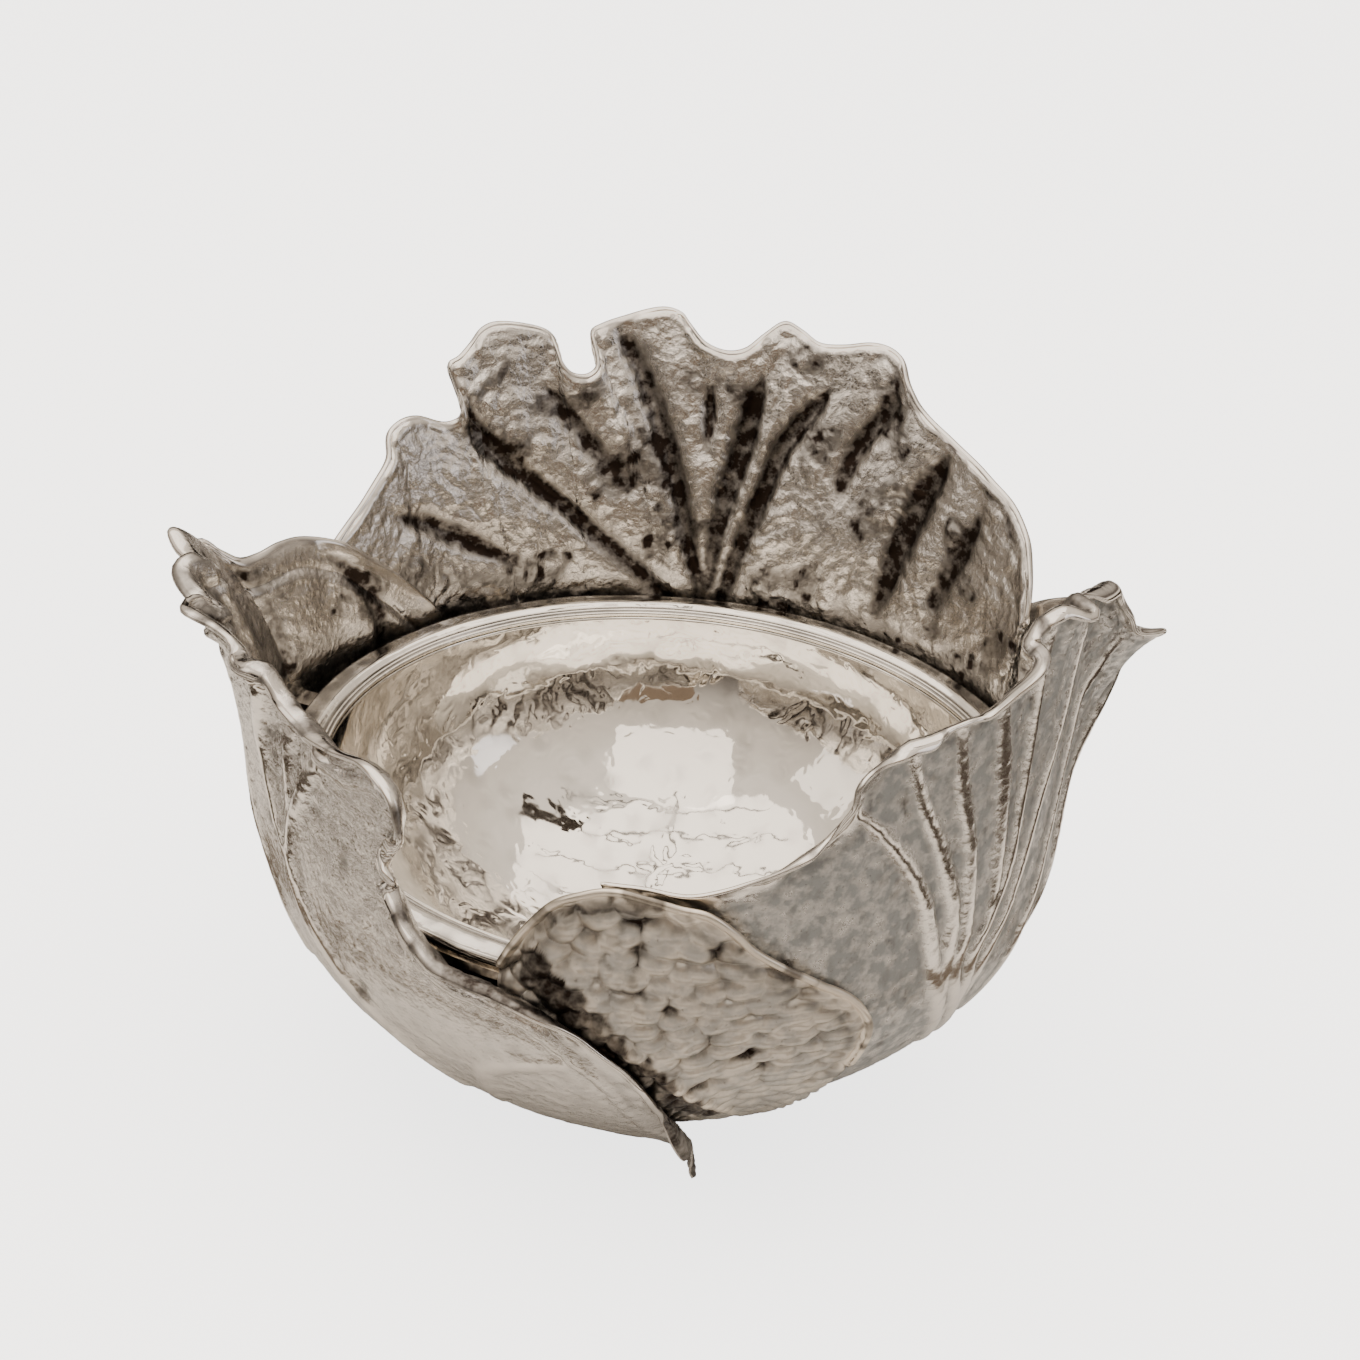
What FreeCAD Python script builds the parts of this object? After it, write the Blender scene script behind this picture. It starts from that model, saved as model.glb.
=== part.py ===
"""Silver centrepiece bowl: four raised cabbage leaves around a lift-out liner bowl.

Millimetres, +Z up. The origin is the centre of the foot's resting face. The leaf wall is half
an ellipsoid up to the rim line and carries on above it as a wall that leans outwards. A place
on a leaf is given by its azimuth, its run along the wall from the rim line (up is positive)
and its stand-off from the wall.
"""
import math
import os

import FreeCAD
import Part

# Driving dimensions of the leaf wall
WALL_RADIUS = 116.2
WALL_DEPTH = 88.0
RIM_HEIGHT = 96.0
LEAN_START = 18.0
SHEET = 1.5

# Leaf bases on the base cup: their stand-off, the run over which the leaves leave it, and how
# the base's own extra stand-off fades towards the edge
BASE_STANDOFF = 2.0
FAN_RUN = 24.0
BASE_FADE = 1.5

# Turned-out lips: how sharply they turn, how far their crest drops for each millimetre out,
# and the run below the rim line over which this drop starts
LIP_SHARPNESS = 12.0
LIP_DROP = 0.45
LIP_START = 40.0

# Base cup and foot
CUP_RADIUS = 46.0
CUP_STANDOFF = (-0.25, 1.35)
FOOT_OUTER = 35.0
FOOT_INNER = 29.5
FOOT_BEAD = 1.6
FOOT_WAIST = (32.6, 5.0)
FOOT_TAPER = 1.2
FOOT_RELIEF = (1.4, 2.0)
FOOT_SOLDER = 0.15

# Liner bowl, its rim and the seat ring
LINER_RADIUS = 102.4
LINER_DEPTH = 76.0
LINER_TOP = 92.2
LINER_SHEET = 1.5
RIM_OUTER = 113.8
RIM_STEP_RADIUS = 111.4
RIM_STEP = 1.5
RIM_LIP = 1.2
RIM_INNER_ARC = (105.6, 95.2)
RIM_CREST_RADIUS = 110.2
RIM_OUTER_ARC = (112.9, 94.8)
RIM_SIDE_TOP = 92.6
SEAT_TOP = 89.5
SEAT_HEIGHT = 2.6
SEAT_INNER = 108.4
SEAT_OUTER = 113.6
BRACKET_WIDTH = 8.0
BRACKET_REACH = 32.0
BRACKET_INSET = 0.3

# Grid steps of a leaf along its edge and from base to edge, closer towards the edge, and of a dish
EDGE_DENSITY = 0.6
RISE_STEPS = 20
RISE_CROWDING = 1.25
DISH_STEPS = 16
DIFFERENCE_STEP = 1e-3

# Knots are (azimuth, value); outline rows are (azimuth, run, extra stand-off, lip);
# base rows are (share of the edge, azimuth, radius, extra stand-off).
BACK_LEAF = {
    "lean": [(30, 0.36), (60, 0.42), (147, 0.42)],
    "standoff": [(30, 0.8), (90, 1.4), (112, 3.2), (130, 5.6), (150, 8.2)],
    "fullness": 3.0,
    "outline": [
        (147, 32, -1, 0), (141, 39, -1, 0), (136.5, 46, -0.5, 0), (134, 51.2, -0.5, 0),
        (132.8, 57.3, 0, 1), (130.6, 60, 0, 1), (127.8, 59.7, 0, 2), (124.4, 56.3, 0, 2),
        (122.5, 56.7, 0, 1), (122, 59, 0, 0), (122, 64.6, 0, 1), (122.2, 69.5, 0, 2),
        (122.4, 73, 0, 2), (121, 74.4, 0, 2), (119.3, 77.6, 0, 2), (117.6, 81.5, 0, 2),
        (115.5, 82.7, 0, 2), (111.1, 80.6, 0, 2), (109, 78.2, 0, 1.5), (108.5, 74.6, 0, 0),
        (107.9, 69.7, 0, -1), (106.6, 66.3, 0, -1), (104.7, 65.6, 0, -1), (103.4, 67.8, 0, -1),
        (103.4, 72, 0, 0), (103.7, 75.3, 0, 1), (103.7, 78.2, 0, 2), (102.5, 79.9, 0, 2),
        (100, 81.8, 0, 3), (95.2, 84.9, 0, 3), (92.7, 83.9, 0, 3), (91.4, 80.7, 0, 2),
        (89.4, 75.9, 0, 0), (86.7, 73.8, 0, 0), (84.2, 75.1, 0, 0), (82, 80, 0, 2),
        (79.8, 84.2, 0, 3), (77.5, 82.6, 0, 2.5), (74.9, 79.8, 0, 2), (71.8, 80.7, 0, 2),
        (68.5, 83, 0, 2.5), (66.1, 83, 0, 3), (63.7, 80.5, 0, 2), (61.6, 74.3, 0, 0),
        (58.8, 68.6, 0, 0), (53.2, 63.7, 0, 0), (46, 59.1, 0, 0), (40.2, 55.1, 0, 0.5),
        (35.4, 48.8, 0, 1), (31.6, 40, 0, 0), (29, 29, 0, 0)],
    "base": [(0, 128, 42, 0), (0.2, 105, 42, 0), (0.39, 97, 42, 0), (0.44, 69, 42, 0), (1, 30, 42, 0)],
}
LEFT_LEAF = {
    "lean": [(129, 0.30), (150, 0.36), (172, 0.36), (204, 0.05), (290, 0.05)],
    "standoff": [(129, 2.8), (150, 5.4), (180, 7.2), (205, 6.6), (240, 6.0), (290, 6.0)],
    "fullness": 3.2,
    "outline": [
        (129, -4, 0, 0), (131, 3, -1, 0), (137, 16, -2, 0), (142, 25, -3, 0), (147, 34, -5, 1),
        (153, 41, -3, 3), (158, 44, -2, 3), (162.5, 45.2, 0, 2), (166, 47.5, 2, 2), (167.8, 52.5, 4, 4),
        (169, 59.5, 5, 8), (171, 65.6, 6, 10), (173.5, 62.2, 5, 6), (175.7, 60, 2, 2), (177.5, 63, 0, 4),
        (180, 64, 1, 9), (183.5, 59, 2, 4), (186, 56, 0, 1), (188, 60, 0, 5),
        (190.5, 64, 2, 12), (194, 61, 3, 5), (198, 56, 2, 1), (201.5, 58, -1, 6),
        (204, 57, -3, 3), (207, 50, -5, 1), (213, 46, -7, 0.5), (220, 46, -6, 0.5),
        (227, 50, -6, 1.5), (232, 48, -4, 1.5), (234.6, 41, -3, 1), (234.8, 33, -3, 0.5),
        (233.2, 24, -2, 0.5), (233, 17, -3, 0.5), (235.5, 11, -1, 0), (238, 5, 0, 0),
        (243, -2, 0, 0), (249, -4, 0, 0), (255, -9, 0, 0), (260, -17, 0, 0),
        (265, -29, 0, 0), (269, -41, 0, 0), (271.8, -56, 0, 0), (274.3, -69, 1, 0),
        (276.6, -81, 6, 0), (279.3, -90, 12, 0)],
    "base": [(0, 130, 42, 0), (0.3, 152, 42, 0), (0.62, 186, 42, 0), (0.76, 225, 42, 2),
             (0.86, 258, 43, 5), (0.92, 275, 47, 8), (0.96, 283, 60, 11), (1, 280.6, 76.5, 16)],
}
RIGHT_LEAF = {
    "lean": [(262, 0.05), (330, 0.04), (362, 0.20), (385, 0.36)],
    "standoff": [(262, 0.8), (330, 0.8), (360, 0.7), (372, 2.2), (384, 3.9), (400, 4.2)],
    "fullness": 4.0,
    "outline": [
        (262, 33, -1, 0), (268, 33, -1, 0), (275, 32, 0, 0), (282.5, 37, 0, 0.5),
        (288.6, 45, 0, 0.5), (293, 51, -1, 1), (295, 59, -1, 3), (295.5, 66, -1, 3),
        (298, 70, -2, 2), (302, 76, -3, 2), (307.5, 77, -4, 3), (312, 78, -3, 3),
        (316, 78, -2, 2), (319, 84, -3, 6), (322.5, 93, -3, 10), (323.5, 94, -4, 4),
        (327, 99, -4, 2), (330, 102, -4, 6), (333, 99, -4, 12), (335.5, 98, -5, 3),
        (341, 93, -7, 2), (346, 91, -9, 4), (350, 89, -10, 7), (353, 79, -4, 6),
        (356, 70, -1, 7), (360, 66, 6, 10), (364, 57, 6, 6), (369, 52, 3, 2),
        (376, 49, 0, 1), (384, 43, 0, 0), (392, 32, 0, 0), (397, 23, 0, 0)],
    "base": [(0, 303, 42, 0), (1, 383, 42, 0)],
}
FRONT_LEAF = {
    "lean": [(249, 0.2), (300, 0.2)],
    "standoff": [(250, 2.9), (300, 2.9)],
    "fullness": 3.0,
    "outline": [
        (249, 2, 0, 0), (251, 11, 0, 0), (253.5, 20, 0, 0), (257, 30, 0, 0.5), (261, 35, 0, 1),
        (265, 37, 0, 1.5), (269, 35, 0, 1), (273, 32, 0, 0.5), (277, 30, 0, 0.5),
        (280.5, 24, 0, 0), (283.5, 17, 0, 0), (288, 10, 0, 0), (293, 3, 0, 0),
        (298.3, -6, 0, 0), (301, -15, 0, 0), (302.3, -23, 0, 0), (302.3, -32, 0, 0),
        (301.5, -43, 0, 0)],
    "base": [(0, 252, 42, 0), (1, 291, 42, 0)],
}
LEAVES = {
    "back_leaf": BACK_LEAF,
    "left_leaf": LEFT_LEAF,
    "right_leaf": RIGHT_LEAF,
    "front_leaf": FRONT_LEAF,
}

# Each seat bracket: the leaf that it is soldered to and its azimuth
BRACKETS = [
    ("back_leaf", 55), ("back_leaf", 88), ("back_leaf", 118), ("left_leaf", 160),
    ("left_leaf", 192), ("left_leaf", 224), ("right_leaf", 306), ("right_leaf", 345),
    ("right_leaf", 375)]


def ease(value, knots):
    """Value of a smooth stepped curve through (place, value) knots, flat beyond its ends."""
    if value <= knots[0][0]:
        return knots[0][1]
    for (low, start), (high, end) in zip(knots, knots[1:]):
        if value <= high:
            share = (value - low) / (high - low)
            return start + (end - start) * share * share * (3 - 2 * share)
    return knots[-1][1]


def straight(value, knots):
    """Value of a straight-line curve through (place, value) knots."""
    for (low, start), (high, end) in zip(knots, knots[1:]):
        if value <= high:
            return start + (end - start) * (value - low) / (high - low)
    return knots[-1][1]


def wall(run, lean):
    """Radius, height and outward normal (radial, upward) of the leaf wall at a run."""
    if run <= 0:
        angle = math.pi / 2 + run / WALL_RADIUS
        radius = WALL_RADIUS * math.sin(angle)
        height = RIM_HEIGHT - WALL_DEPTH * math.cos(angle)
        normal = (math.sin(angle) / WALL_RADIUS, -math.cos(angle) / WALL_DEPTH)
    else:
        fade = math.exp(-run / LEAN_START)
        radius = WALL_RADIUS + lean * (run - LEAN_START * (1 - fade))
        height = RIM_HEIGHT + run
        normal = (1.0, -lean * (1 - fade))
    size = math.hypot(*normal)
    return radius, height, normal[0] / size, normal[1] / size


def run_at_radius(radius):
    """Run of the place below the rim line where the wall has this radius."""
    return WALL_RADIUS * (math.asin(radius / WALL_RADIUS) - math.pi / 2)


def place(azimuth, radius, height):
    """Point from its azimuth in degrees, its radius and its height."""
    turn = math.radians(azimuth)
    return FreeCAD.Vector(radius * math.cos(turn), radius * math.sin(turn), height)


class Outline:
    """Smooth curve through outline rows, measured by its share from 0 to 1."""

    def __init__(self, rows):
        self.rows = rows
        shares = [0.0]
        for last, row in zip(rows, rows[1:]):
            step = math.hypot(2.0 * (row[0] - last[0]), row[1] - last[1])
            shares.append(shares[-1] + math.sqrt(step))
        self.length = shares[-1]
        self.shares = [share / self.length for share in shares]

    def slope(self, index):
        """Slope of every column at one row, from the rows beside it."""
        low = max(index - 1, 0)
        high = min(index + 1, len(self.rows) - 1)
        gap = self.shares[high] - self.shares[low]
        return [(b - a) / gap for a, b in zip(self.rows[low], self.rows[high])]

    def at(self, share):
        """Row of values at a share of the curve."""
        index = 0
        while index < len(self.rows) - 2 and self.shares[index + 1] <= share:
            index += 1
        gap = self.shares[index + 1] - self.shares[index]
        t = (share - self.shares[index]) / gap
        weights = (2 * t**3 - 3 * t**2 + 1, (t**3 - 2 * t**2 + t) * gap,
                   3 * t**2 - 2 * t**3, (t**3 - t**2) * gap)
        columns = zip(self.rows[index], self.slope(index), self.rows[index + 1], self.slope(index + 1))
        return [sum(w * c for w, c in zip(weights, column)) for column in columns]


class Leaf:
    """One raised leaf: a bent sheet that fans out from the base cup to its ruffled edge."""

    def __init__(self, shape):
        self.shape = shape
        self.outline = Outline(shape["outline"])
        first = shape["outline"][0][0]
        last = shape["outline"][-1][0]
        self.turn = 1.0 if last > first else -1.0

    def base(self, share):
        """Azimuth, radius and extra stand-off of the base at a share of the edge."""
        columns = list(zip(*self.shape["base"]))
        return [straight(share, list(zip(columns[0], column))) for column in columns[1:]]

    def middle(self, share, rise):
        """Point on the sheet's middle surface; rise is 0 at the base and 1 at the edge."""
        edge_azimuth, edge_run, extra, lip = self.outline.at(share)
        base_azimuth, base_radius, base_extra = self.base(share)
        base_run = run_at_radius(base_radius)
        azimuth = base_azimuth + (edge_azimuth - base_azimuth) * rise
        run = base_run + (edge_run - base_run) * rise
        lip_share = min(max((edge_run + LIP_START) / LIP_START, 0.0), 1.0)
        run += LIP_DROP * lip * (rise - rise**LIP_SHARPNESS) * lip_share
        radius, height, out, up = wall(run, ease(azimuth, self.shape["lean"]))
        fan = ease(run - run_at_radius(CUP_RADIUS), [(0, 0), (FAN_RUN, 1)])
        standoff = BASE_STANDOFF + (ease(azimuth, self.shape["standoff"]) - BASE_STANDOFF) * fan
        standoff += base_extra * (1 - rise)**BASE_FADE
        standoff += extra * rise**self.shape["fullness"] + lip * rise**LIP_SHARPNESS
        return place(azimuth, radius + out * standoff, height + up * standoff)

    def faces(self, share, rise):
        """Outer and inner point of the sheet."""
        low_share = max(share - DIFFERENCE_STEP, 0)
        high_share = min(share + DIFFERENCE_STEP, 1)
        low_rise = max(rise - DIFFERENCE_STEP, 0)
        high_rise = min(rise + DIFFERENCE_STEP, 1)
        along = self.middle(high_share, rise) - self.middle(low_share, rise)
        upward = self.middle(share, high_rise) - self.middle(share, low_rise)
        normal = along.cross(upward) * self.turn
        normal.normalize()
        middle = self.middle(share, rise)
        return middle + normal * (SHEET / 2), middle - normal * (SHEET / 2)

    def solid(self):
        """Closed sheet: outer and inner spline faces joined by four ruled faces."""
        steps = int(self.outline.length * EDGE_DENSITY)
        shares = [index / steps for index in range(steps + 1)]
        rises = [1 - (1 - index / RISE_STEPS)**RISE_CROWDING for index in range(RISE_STEPS + 1)]
        outer, inner = [], []
        for share in shares:
            pairs = [self.faces(share, rise) for rise in rises]
            outer.append([pair[0] for pair in pairs])
            inner.append([pair[1] for pair in pairs])
        skins = []
        for grid in (outer, inner):
            skin = Part.BSplineSurface()
            skin.interpolate(grid)
            skins.append(skin)
        faces = [skin.toShape() for skin in skins]
        u_start, u_end, v_start, v_end = skins[0].bounds()
        for u_side in (u_start, u_end):
            faces.append(Part.makeRuledSurface(*[skin.uIso(u_side).toShape() for skin in skins]))
        for v_side in (v_start, v_end):
            faces.append(Part.makeRuledSurface(*[skin.vIso(v_side).toShape() for skin in skins]))
        shell = Part.makeShell(faces)
        shell.sewShape()
        return solid_of(shell)


def solid_of(shell):
    """Solid from a closed shell, with its faces turned outwards."""
    shell = shell.Shells[0] if shell.Shells else shell
    solid = Part.Solid(shell)
    if solid.Volume < 0:
        solid.reverse()
    return solid


def revolve(edges):
    """Solid of revolution from the closed outline that the edges form in the XZ plane."""
    face = Part.Face(Part.Wire(Part.__sortEdges__(edges)))
    return face.revolve(FreeCAD.Vector(0, 0, 0), FreeCAD.Vector(0, 0, 1), 360)


def ring(corners, arcs=None):
    """Ring from (radius, height) corners; arcs gives the middle point of the arc after a corner."""
    arcs = arcs or {}
    edges = []
    for index, corner in enumerate(corners):
        start = FreeCAD.Vector(corner[0], 0, corner[1])
        following = corners[(index + 1) % len(corners)]
        end = FreeCAD.Vector(following[0], 0, following[1])
        if index in arcs:
            middle = FreeCAD.Vector(arcs[index][0], 0, arcs[index][1])
            edges.append(Part.Arc(start, middle, end).toShape())
        else:
            edges.append(Part.makeLine(start, end))
    return revolve(edges)


def dish(rows):
    """Solid of revolution between two rows of (radius, height) points that start on the axis."""
    curves = []
    for row in rows:
        curve = Part.BSplineCurve()
        curve.interpolate([FreeCAD.Vector(radius, 0, height) for radius, height in row])
        curves.append(curve.toShape())
    for end in (0, -1):
        curves.append(Part.makeLine(*[FreeCAD.Vector(row[end][0], 0, row[end][1]) for row in rows]))
    return revolve(curves)


def liner_bowl():
    """Round bowl that lifts out, up to the underside of its rim."""
    turns = [math.pi / 2 * step / DISH_STEPS for step in range(DISH_STEPS + 1)]
    rows = []
    for side in (0.0, LINER_SHEET):
        radius = LINER_RADIUS + side
        depth = LINER_DEPTH + side
        rows.append([(radius * math.sin(turn), LINER_TOP - depth * math.cos(turn)) for turn in turns])
    return dish(rows)


def liner_rim():
    """Broad rolled rim with a step below it that rests on the seat ring."""
    neck = LINER_RADIUS + LINER_SHEET
    ledge = SEAT_TOP + RIM_STEP
    corners = [
        (LINER_RADIUS, LINER_TOP), (LINER_RADIUS, LINER_TOP + RIM_LIP), (RIM_CREST_RADIUS, RIM_HEIGHT),
        (RIM_OUTER, RIM_SIDE_TOP), (RIM_OUTER, ledge), (RIM_STEP_RADIUS, ledge),
        (RIM_STEP_RADIUS, SEAT_TOP), (neck, SEAT_TOP), (neck, LINER_TOP)]
    return ring(corners, {1: RIM_INNER_ARC, 2: RIM_OUTER_ARC})


def seat_ring():
    """Flat ring inside the leaves that carries the liner's rim."""
    low = SEAT_TOP - SEAT_HEIGHT
    return ring([(SEAT_INNER, low), (SEAT_OUTER, low), (SEAT_OUTER, SEAT_TOP), (SEAT_INNER, SEAT_TOP)])


def seat_brackets(leaves):
    """Short tabs from the seat ring out to the leaves, one solid each."""
    low = SEAT_TOP - SEAT_HEIGHT + BRACKET_INSET
    corner = FreeCAD.Vector(SEAT_OUTER - BRACKET_INSET, -BRACKET_WIDTH / 2, low)
    tabs = []
    for name, azimuth in BRACKETS:
        tab = Part.makeBox(BRACKET_REACH, BRACKET_WIDTH, SEAT_HEIGHT - 2 * BRACKET_INSET, corner)
        tab.rotate(FreeCAD.Vector(0, 0, 0), FreeCAD.Vector(0, 0, 1), azimuth)
        pieces = tab.cut(leaves[name]).Solids
        tabs.append(min(pieces, key=lambda piece: abs(piece.CenterOfMass.x + 1j * piece.CenterOfMass.y)))
    return Part.makeCompound(tabs)


def base_cup():
    """Shallow dish under the liner that the leaf bases are soldered to."""
    bottom = -WALL_RADIUS * math.pi / 2
    reach = run_at_radius(CUP_RADIUS) - bottom
    rows = []
    for standoff in CUP_STANDOFF:
        places = [wall(bottom + reach * step / DISH_STEPS, 0) for step in range(DISH_STEPS + 1)]
        rows.append([(radius + out * standoff if radius > 0.01 else 0.0, height + up * standoff)
                     for radius, height, out, up in places])
    return dish(rows)


def foot_ring():
    """Plain moulded ring that the bowl stands on, soldered under the base cup."""
    def cup_height(radius):
        _, height, _, up = wall(run_at_radius(radius), 0)
        return height + up * (CUP_STANDOFF[1] - FOOT_SOLDER)
    top_outer = FOOT_OUTER - FOOT_TAPER
    relief, relief_height = FOOT_RELIEF
    top_inner = FOOT_INNER + relief
    corners = [
        (FOOT_INNER, 0), (FOOT_OUTER, 0), (FOOT_OUTER, FOOT_BEAD), (top_outer, cup_height(top_outer)),
        (top_inner, cup_height(top_inner)), (top_inner, relief_height), (FOOT_INNER, relief_height)]
    return ring(corners, {2: FOOT_WAIST})


def main():
    """Build every node and write it to its own STEP file."""
    leaves = {name: Leaf(shape).solid() for name, shape in LEAVES.items()}
    nodes = dict(leaves)
    nodes["liner_bowl"] = liner_bowl()
    nodes["liner_rim"] = liner_rim()
    nodes["seat_ring"] = seat_ring()
    nodes["seat_brackets"] = seat_brackets(leaves)
    nodes["base_cup"] = base_cup()
    nodes["foot_ring"] = foot_ring()
    os.makedirs("parts", exist_ok=True)
    for name, shape in nodes.items():
        box = shape.BoundBox
        print(f"{name}: volume {shape.Volume / 1000:.2f} cm3, valid {shape.isValid()}, "
              f"x {box.XMin:.1f}..{box.XMax:.1f}, y {box.YMin:.1f}..{box.YMax:.1f}, "
              f"z {box.ZMin:.1f}..{box.ZMax:.1f}")
        shape.exportStep(f"parts/{name}.step")


main()
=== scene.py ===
"""Looks of a raised silver bowl: four chased cabbage leaves round a lift-out hammered liner.

Sizes in this file are millimetres unless a name says otherwise; meshes are put in as metres.
The leaf wall is half an ellipsoid up to the rim line and leans outwards above it. A place on a
leaf is given by its azimuth in degrees and its run along the wall from the rim line.
"""

import logging
import math
from dataclasses import dataclass
from enum import Enum
from typing import Any

import bpy
import numpy as np
from mathutils import Matrix, Vector

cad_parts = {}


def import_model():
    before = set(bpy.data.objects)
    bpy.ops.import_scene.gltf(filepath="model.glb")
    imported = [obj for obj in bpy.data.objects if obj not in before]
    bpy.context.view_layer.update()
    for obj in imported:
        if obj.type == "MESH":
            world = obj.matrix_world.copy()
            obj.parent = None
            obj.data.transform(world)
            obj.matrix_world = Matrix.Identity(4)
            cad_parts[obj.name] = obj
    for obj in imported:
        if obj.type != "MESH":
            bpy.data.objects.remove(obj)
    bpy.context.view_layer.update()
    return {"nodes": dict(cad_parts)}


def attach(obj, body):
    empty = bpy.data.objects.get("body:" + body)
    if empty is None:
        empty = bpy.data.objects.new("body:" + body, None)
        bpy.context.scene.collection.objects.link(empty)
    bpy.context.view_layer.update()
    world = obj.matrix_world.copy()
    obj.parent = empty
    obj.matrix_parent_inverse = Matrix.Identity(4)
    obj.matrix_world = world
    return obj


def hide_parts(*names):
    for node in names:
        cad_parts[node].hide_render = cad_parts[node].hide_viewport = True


LOG = logging.getLogger("leaf_bowl")
MM = 0.001
FAR = 1e9
TINY = 1e-9
WORD = 2.0**32
SEED_FACTOR = 0x9E3779B1
AXIS_FACTORS = (0x8DA6B343, 0xD8163841, 0xCB1AB31F)
MIXING = ((15, 0x2C1B3C6D), (12, 0x297A2D39))
LAST_SHIFT = 15
SWELL_GAIN = 1.6

Array = np.ndarray
Knots = tuple[tuple[float, ...], ...]


# ---------------------------------------------------------------- numbers and patterns


def ease(value: Array, knots: Knots) -> Array:
    """Smooth stepped curve through (place, value) knots, flat beyond its ends.

    Args:
        value: places to read the curve at.
        knots: rows of (place, value), places rising.

    Returns:
        The curve's values; between two knots it follows 3t^2 - 2t^3.
    """
    table = np.asarray(knots, float)
    value = np.clip(value, table[0, 0], table[-1, 0])
    low = np.clip(np.searchsorted(table[:, 0], value, side="right") - 1, 0, len(table) - 2)
    share = (value - table[low, 0]) / (table[low + 1, 0] - table[low, 0])
    rise = table[low + 1, 1] - table[low, 1]
    return table[low, 1] + rise * share * share * (3 - 2 * share)


def smooth(value: Array, start: float, end: float) -> Array:
    """Smooth step from 0 at start to 1 at end."""
    share = np.clip((value - start) / (end - start), 0.0, 1.0)
    return share * share * (3 - 2 * share)


def bell(value: Array, width: Array | float, power: int = 2) -> Array:
    """Bell of 1 at zero that falls as e^-(value / width)^power."""
    return np.exp(-(value / width)**power)


def through(rows: Array, places: Array, at: Array) -> Array:
    """Catmull-Rom curve through rows of values.

    Args:
        rows: one row of values for each place.
        places: rising parameter of each row.
        at: parameters to read the curve at.

    Returns:
        One row of values for each entry of at: cubic Hermite pieces whose slopes come from
        the rows beside each one.
    """
    index = np.arange(len(rows))
    low, high = np.maximum(index - 1, 0), np.minimum(index + 1, len(rows) - 1)
    slope = (rows[high] - rows[low]) / (places[high] - places[low])[:, None]
    i = np.clip(np.searchsorted(places, at, side="right") - 1, 0, len(rows) - 2)
    gap = (places[i + 1] - places[i])[:, None]
    t = (at - places[i])[:, None] / gap
    return ((2 * t**3 - 3 * t**2 + 1) * rows[i] + (t**3 - 2 * t**2 + t) * gap * slope[i]
            + (3 * t**2 - 2 * t**3) * rows[i + 1] + (t**3 - t**2) * gap * slope[i + 1])


def scatter(cells: Array, seed: int) -> Array:
    """Repeatable values for whole-number cells, by mixing the bits of their indices.

    Args:
        cells: indices of each cell, two or three columns last.
        seed: picks one pattern.

    Returns:
        A value from 0 to 1 for each cell.
    """
    mixed = np.full(cells.shape[:-1], int(seed * SEED_FACTOR % WORD), np.uint32)
    for axis in range(cells.shape[-1]):
        mixed ^= cells[..., axis].astype(np.int64).astype(np.uint32) * np.uint32(AXIS_FACTORS[axis])
    for shift, factor in MIXING:
        mixed ^= mixed >> np.uint32(shift)
        mixed *= np.uint32(factor)
    mixed ^= mixed >> np.uint32(LAST_SHIFT)
    return mixed / WORD


def swell(points: Array, size: float, seed: int) -> Array:
    """Gradient noise from about -1 to 1.

    Args:
        points: places in millimetres, three columns last.
        size: spacing of the noise's lattice.
        seed: picks one pattern.

    Returns:
        For each place the blend of its cell's eight corner slopes, each weighted by 3t^2 - 2t^3.
    """
    scaled = points / size
    cell = np.floor(scaled).astype(np.int64)
    part = scaled - cell
    fade = part * part * (3 - 2 * part)
    total = np.zeros(points.shape[:-1])
    for corner in np.ndindex(2, 2, 2):
        step = np.array(corner)
        weight = np.prod(np.where(step == 1, fade, 1 - fade), axis=-1)
        slope = np.stack([scatter(cell + step, seed + turn) for turn in range(3)], -1) * 2 - 1
        total += weight * ((part - step) * slope).sum(-1)
    return total * SWELL_GAIN


def hammered(points: Array, size: float, seed: int) -> Array:
    """Distance to the nearest hammer blow, in shares of the spacing.

    Args:
        points: places in millimetres, two or three columns last.
        size: spacing of the blows.
        seed: picks one pattern.

    Returns:
        The distance; one blow lies at a scattered place in each cell of the lattice.
    """
    ways = points.shape[-1]
    scaled = points / size
    cell = np.floor(scaled).astype(np.int64)
    nearest = np.full(points.shape[:-1], FAR)
    for step in np.ndindex(*(3,) * ways):
        near = cell + np.array(step) - 1
        blow = near + np.stack([scatter(near, seed + turn) for turn in range(ways)], -1)
        nearest = np.minimum(nearest, np.linalg.norm(scaled - blow, axis=-1))
    return nearest


# ---------------------------------------------------------------- finishes


def linear(colour: str) -> tuple[float, float, float, float]:
    """Linear colour from an sRGB hex value.

    Args:
        colour: six hex digits, such as D8D0C4.

    Returns:
        Red, green and blue by the sRGB curve, and an alpha of 1.
    """
    parts = [int(colour[i:i + 2], 16) / 255 for i in (0, 2, 4)]
    red, green, blue = [p / 12.92 if p <= 0.04045 else ((p + 0.055) / 1.055)**2.4 for p in parts]
    return red, green, blue, 1.0


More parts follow.
